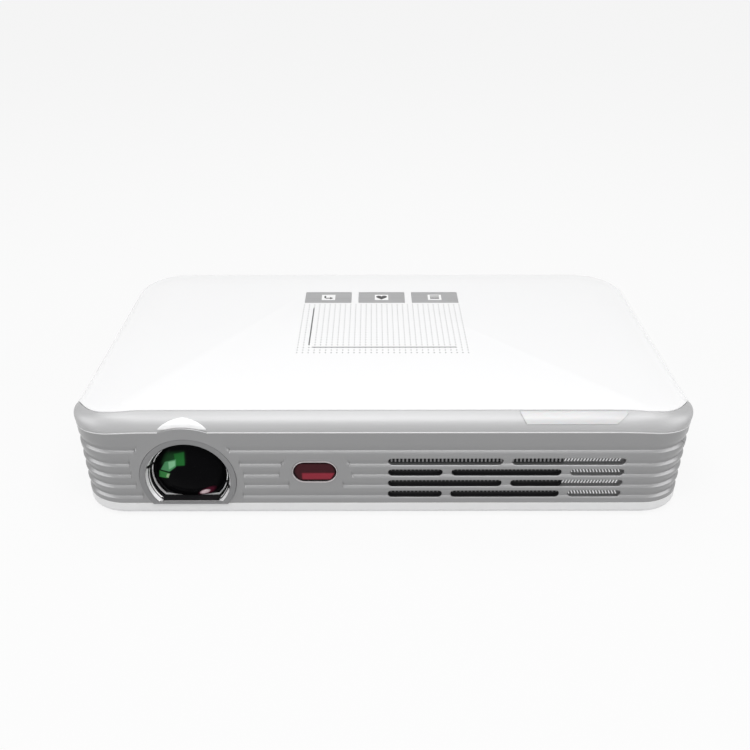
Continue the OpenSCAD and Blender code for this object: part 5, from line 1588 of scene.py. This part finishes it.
KEY_TOP = height(CASE_H)
for k in (-1, 0, 1):
    x = k * KEY_PITCH
    plate = prism(Z, key_outline(x, KEY_GAP), height(CASE_H - KEY_T) + 0.02, KEY_TOP, f"key_plate_{k + 2}")
    bevel(plate, 0.12, 2)
    dress(plate, key_grey)
    if k == -1:
        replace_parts(plate, "touch_keys")
    outline = rectangle(x - LABEL_W / 2, x + LABEL_W / 2, KEY_Y - LABEL_D / 2, KEY_Y + LABEL_D / 2)
    label = prism(Z, outline, KEY_TOP - 0.01, KEY_TOP + PRINT_H, f"key_label_{k + 2}")
    dress(label, print_white)


def print_shape(name, outlines):
    """Black flat prints from closed outlines in X and Y, joined in one object."""
    points, faces = [], []
    for outline in outlines:
        base = len(points)
        points += [(x, y, z) for z in (KEY_TOP, KEY_TOP + 2 * PRINT_H) for x, y in outline]
        faces += [tuple(base + v for v in face) for face in sweep_faces(2, len(outline))]
    return dress(plain_object(name, points, faces), print_black)


def heart(cx, cy, s, steps=48):
    made = []
    for k in range(steps):
        a = 2 * math.pi * k / steps
        x = 16 * math.sin(a) ** 3
        y = 13 * math.cos(a) - 5 * math.cos(2 * a) - 2 * math.cos(3 * a) - math.cos(4 * a)
        made.append((cx + x * s, cy + y * s))
    return made


def band(points, width):
    """Outline of a line of points with a width."""
    left, right = [], []
    for k, (x, y) in enumerate(points):
        ax, ay = points[max(k - 1, 0)]
        bx, by = points[min(k + 1, len(points) - 1)]
        length = math.hypot(bx - ax, by - ay)
        nx, ny = -(by - ay) / length * width / 2, (bx - ax) / length * width / 2
        left.append((x + nx, y + ny))
        right.append((x - nx, y - ny))
    return left + right[::-1]


ax = -KEY_PITCH
hook = [(ax - 1.6, KEY_Y + 1.7), *arc(ax - 0.6, KEY_Y + 0.1, 1.1, 180, 270, 8), (ax + 1.0, KEY_Y - 1.0)]
tip = [(ax + 2.3, KEY_Y - 1.0), (ax + 0.8, KEY_Y + 0.3), (ax + 0.8, KEY_Y - 2.3)]
print_shape("symbol_back", [band(hook, 0.8), tip])
print_shape("symbol_heart", [heart(0, KEY_Y, 0.165)])
lines = [rectangle(KEY_PITCH - 2.2, KEY_PITCH + 2.2, KEY_Y + c - 0.42, KEY_Y + c + 0.42)
         for c in (-1.6, 0, 1.6)]
print_shape("symbol_menu", lines)
print("key plates:", 3)

# %% Pad
PAD_X = 37.2
PAD_NEAR = 53.8
PAD_PITCH = 2.48
PAD_ROWS = 21
DOT_R = 0.31
# The line on the pad's left and the line in front of it, as (x0, x1, depth, depth)
PAD_LINES = [(-32.65, -32.15, 61, 99.8), (-31, 32.3, 58.75, 59.25)]
columns = 2 * round(PAD_X / PAD_PITCH) + 1
run = (PAD_ROWS - 1) * PAD_PITCH
grow("pad_dots", dot_grid, "key_grey", {
    "Columns": columns, "Rows": PAD_ROWS, "Width": (columns - 1) * PAD_PITCH * MM, "Depth": run * MM,
    "Centre": (0.0, depth(PAD_NEAR + run / 2) * MM, (KEY_TOP + PRINT_H / 2) * MM), "Radius": DOT_R * MM,
    "Height": PRINT_H * MM, "Material": print_grey,
})
edge_lines = [rectangle(x0, x1, depth(d0), depth(d1)) for x0, x1, d0, d1 in PAD_LINES]
print_shape("pad_edge_lines", edge_lines)
print("pad dots:", columns * PAD_ROWS)

# %% [markdown]
# ## Small outside parts
# Feet, screws, sockets, buttons and the focus wheel keep the construction's shape. A copy of each
# mesh is merged, its flat faces are joined and its edges are eased, so they catch the light.

# %% Eased copies of small parts
foot_rubber = finish("foot_rubber", (0.05, 0.05, 0.052), 1800, 0.15, 0.75, 0.1, 0.15)
black_plastic = finish("black_plastic", (0.028, 0.028, 0.03), 1400, 0.1, 0.45, 0.1, 0.08)
bright_steel = finish("bright_steel", (0.68, 0.68, 0.69), 1400, 0.05, 0.25, 0.1, 0.02, stretch=12,
                      Metallic=1.0)
sheet_steel = finish("plated_sheet_steel", (0.56, 0.57, 0.58), 700, 0.08, 0.36, 0.15, 0.03, stretch=30,
                     Metallic=0.95)
insert_brass = finish("turned_brass", (0.78, 0.57, 0.25), 900, 0.05, 0.25, 0.1, 0.02, Metallic=1.0)
button_silver = finish("button_silver", (0.62, 0.62, 0.63), 1600, 0.02, 0.28, 0.05, 0.02, Metallic=0.4)


def eased(node, material, body, width=0.12, segments=2):
    """A merged copy of a CAD node with joined flats and eased edges, in the node's place."""
    mesh = frame["nodes"][node].data.copy()
    obj = put(node + "_eased", mesh)
    bm = bmesh.new()
    bm.from_mesh(mesh)
    bmesh.ops.remove_doubles(bm, verts=bm.verts, dist=2e-7)
    bmesh.ops.dissolve_limit(bm, angle_limit=math.radians(1), verts=bm.verts, edges=bm.edges)
    bm.to_mesh(mesh)
    bm.free()
    bevel(obj, width, segments, 40)
    dress(obj, material, 35, body)
    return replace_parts(obj, node)


EASED = [
    ("rubber_feet", foot_rubber, "case", "foot_rubber", 0.3),
    ("cover_screws", bright_steel, "case", "bright_steel", 0.1),
    ("tripod_insert", insert_brass, "case", "insert_brass", 0.15),
    ("focus_wheel", black_plastic, "focus_dial", "black_plastic", 0.12),
    ("hdmi_port", sheet_steel, "case", "sheet_steel", 0.12),
    ("usb_ports", sheet_steel, "case", "sheet_steel", 0.12),
    ("audio_jack", black_plastic, "case", "black_plastic", 0.15),
    ("power_jack", black_plastic, "case", "black_plastic", 0.15),
    ("power_button", button_silver, "power_key", "button_silver", 0.2),
    ("eject_button", button_silver, "eject_key", "button_silver", 0.15),
    ("disc_tray", black_plastic, "tray_group", "black_plastic", 0.15),
]
for node, material, body, slot, width in EASED:
    eased(node, material, body, width)
print("eased parts:", len(EASED))

# %% [markdown]
# ## Inner parts
# What lies inside shows only through the openings and with the tray out. Those nodes keep their own
# mesh and get their finish by the record's material slot.

# %% Finishes of the inner parts
clear_glass = finish("clear_glass", (0.85, 0.95, 0.9), 200, 0.01, 0.03, 0.01, 0.0,
                     Transmission_Weight=1.0)
circuit_board = finish("circuit_board", (0.02, 0.13, 0.06), 500, 0.5, 0.4, 0.2, 0.05, stretch=8)
cast_alloy = finish("die_cast_alloy", (0.42, 0.43, 0.44), 1300, 0.12, 0.5, 0.15, 0.2, Metallic=0.9)
copper = finish("bare_copper", (0.80, 0.42, 0.26), 700, 0.1, 0.28, 0.12, 0.03, Metallic=1.0)
battery_wrap = finish("battery_wrap", (0.04, 0.10, 0.30), 250, 0.06, 0.22, 0.08)
ribbon_film = finish("ribbon_film", (0.55, 0.33, 0.08), 400, 0.08, 0.2, 0.05)

BY_SLOT = {
    "white_shell": white_gloss, "silver_wall": silver_paint, "silver_brow": brow_paint,
    "light_diffuser": light_diffuser, "key_grey": key_grey, "button_silver": button_silver,
    "ring_grey": ring_grey, "optical_black": optical_black, "lens_glass": clear_glass,
    "ir_red": ir_window_painted_glow, "black_plastic": black_plastic, "mesh_dark": mesh_dark,
    "circuit_board": circuit_board, "foot_rubber": foot_rubber, "bright_steel": bright_steel,
    "sheet_steel": sheet_steel, "insert_brass": insert_brass, "cast_alloy": cast_alloy,
    "fin_aluminium": fin_aluminium, "copper": copper, "battery_wrap": battery_wrap,
    "ribbon_film": ribbon_film,
}


def node_slots():
    """Each CAD node's material slot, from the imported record."""
    return {part["node"]: part["material_slot"] for part in frame["record"]["subparts"]}


for node, slot in node_slots().items():
    mesh = frame["nodes"][node].data
    mesh.materials.clear()
    mesh.materials.append(BY_SLOT[slot])
print("nodes with a finish:", len(node_slots()))

# %% [markdown]
# ## Stage and light
# The picture is a product shot on white: nothing shows of the floor or the backdrop, and there is
# hardly any shadow. A dim even world and four soft lamps light the case: one overhead, one over the
# front and one at each side. The floor and the world look white only to the camera, to reflections
# and through glass, and the floor keeps the case's shadow.

# %% Floor and world
FLOOR_GLOW = 0.88
WORLD_LIGHT = 0.22


def background_rays(tree):
    """1 for the rays that show the white background: camera, glossy and transmission rays."""
    kind = add(tree, "ShaderNodeLightPath").outputs
    through = maths(tree, "MAXIMUM", kind["Is Glossy Ray"], kind["Is Transmission Ray"])
    return maths(tree, "MAXIMUM", kind["Is Camera Ray"], through)


floor = plain_object("floor", [(x / MM, y / MM, 0) for x, y in rectangle(-6, 6, -6, 6)], [(0, 1, 2, 3)])
floor_white, shader = new_material("floor_white", Base_Color=(0.75, 0.75, 0.75, 1), Roughness=0.9)
tree = floor_white.node_tree
glow = add(tree, "ShaderNodeEmission", {"Color": (1, 1, 1, 1), "Strength": 1.0})
seen = maths(tree, "MULTIPLY", background_rays(tree), FLOOR_GLOW)
mix = add(tree, "ShaderNodeMixShader", {0: seen, 1: shader.outputs[0], 2: glow.outputs[0]})
wire(tree, tree.nodes["Material Output"], {"Surface": mix.outputs[0]})
floor.data.materials.append(floor_white)

world = bpy.data.worlds.new("white_room")
bpy.context.scene.world = world
world.use_nodes = True
tree = world.node_tree
strength = add(tree, "ShaderNodeMix", {"A": WORLD_LIGHT, "B": 1, "Factor": background_rays(tree)})
wire(tree, tree.nodes["Background"], {"Color": (1, 1, 1, 1), "Strength": strength.outputs[0]})
bpy.context.scene.view_settings.view_transform = "Standard"
print("world light:", WORLD_LIGHT)

# %% Lamps


def soft_lamp(name, at, target, size, watts):
    data = bpy.data.lights.new(name, "AREA")
    data.shape = "RECTANGLE"
    data.size, data.size_y = size
    data.energy = watts
    lamp = put(name, data)
    lamp.location = at
    lamp.rotation_euler = (Vector(target) - Vector(at)).to_track_quat("-Z", "Y").to_euler()


soft_lamp("overhead", (0, 0, 0.62), (0, 0, 0), (0.6, 0.8), 2.3)
soft_lamp("key", (0, -0.43, 0.66), (0, -0.05, 0.02), (0.85, 0.24), 2.0)
for side in (-1, 1):
    soft_lamp("side", (side * 1.2, -0.6, 0.4), (0, 0, 0.03), (1.2, 0.7), 5.2)
print("lamps:", 4)
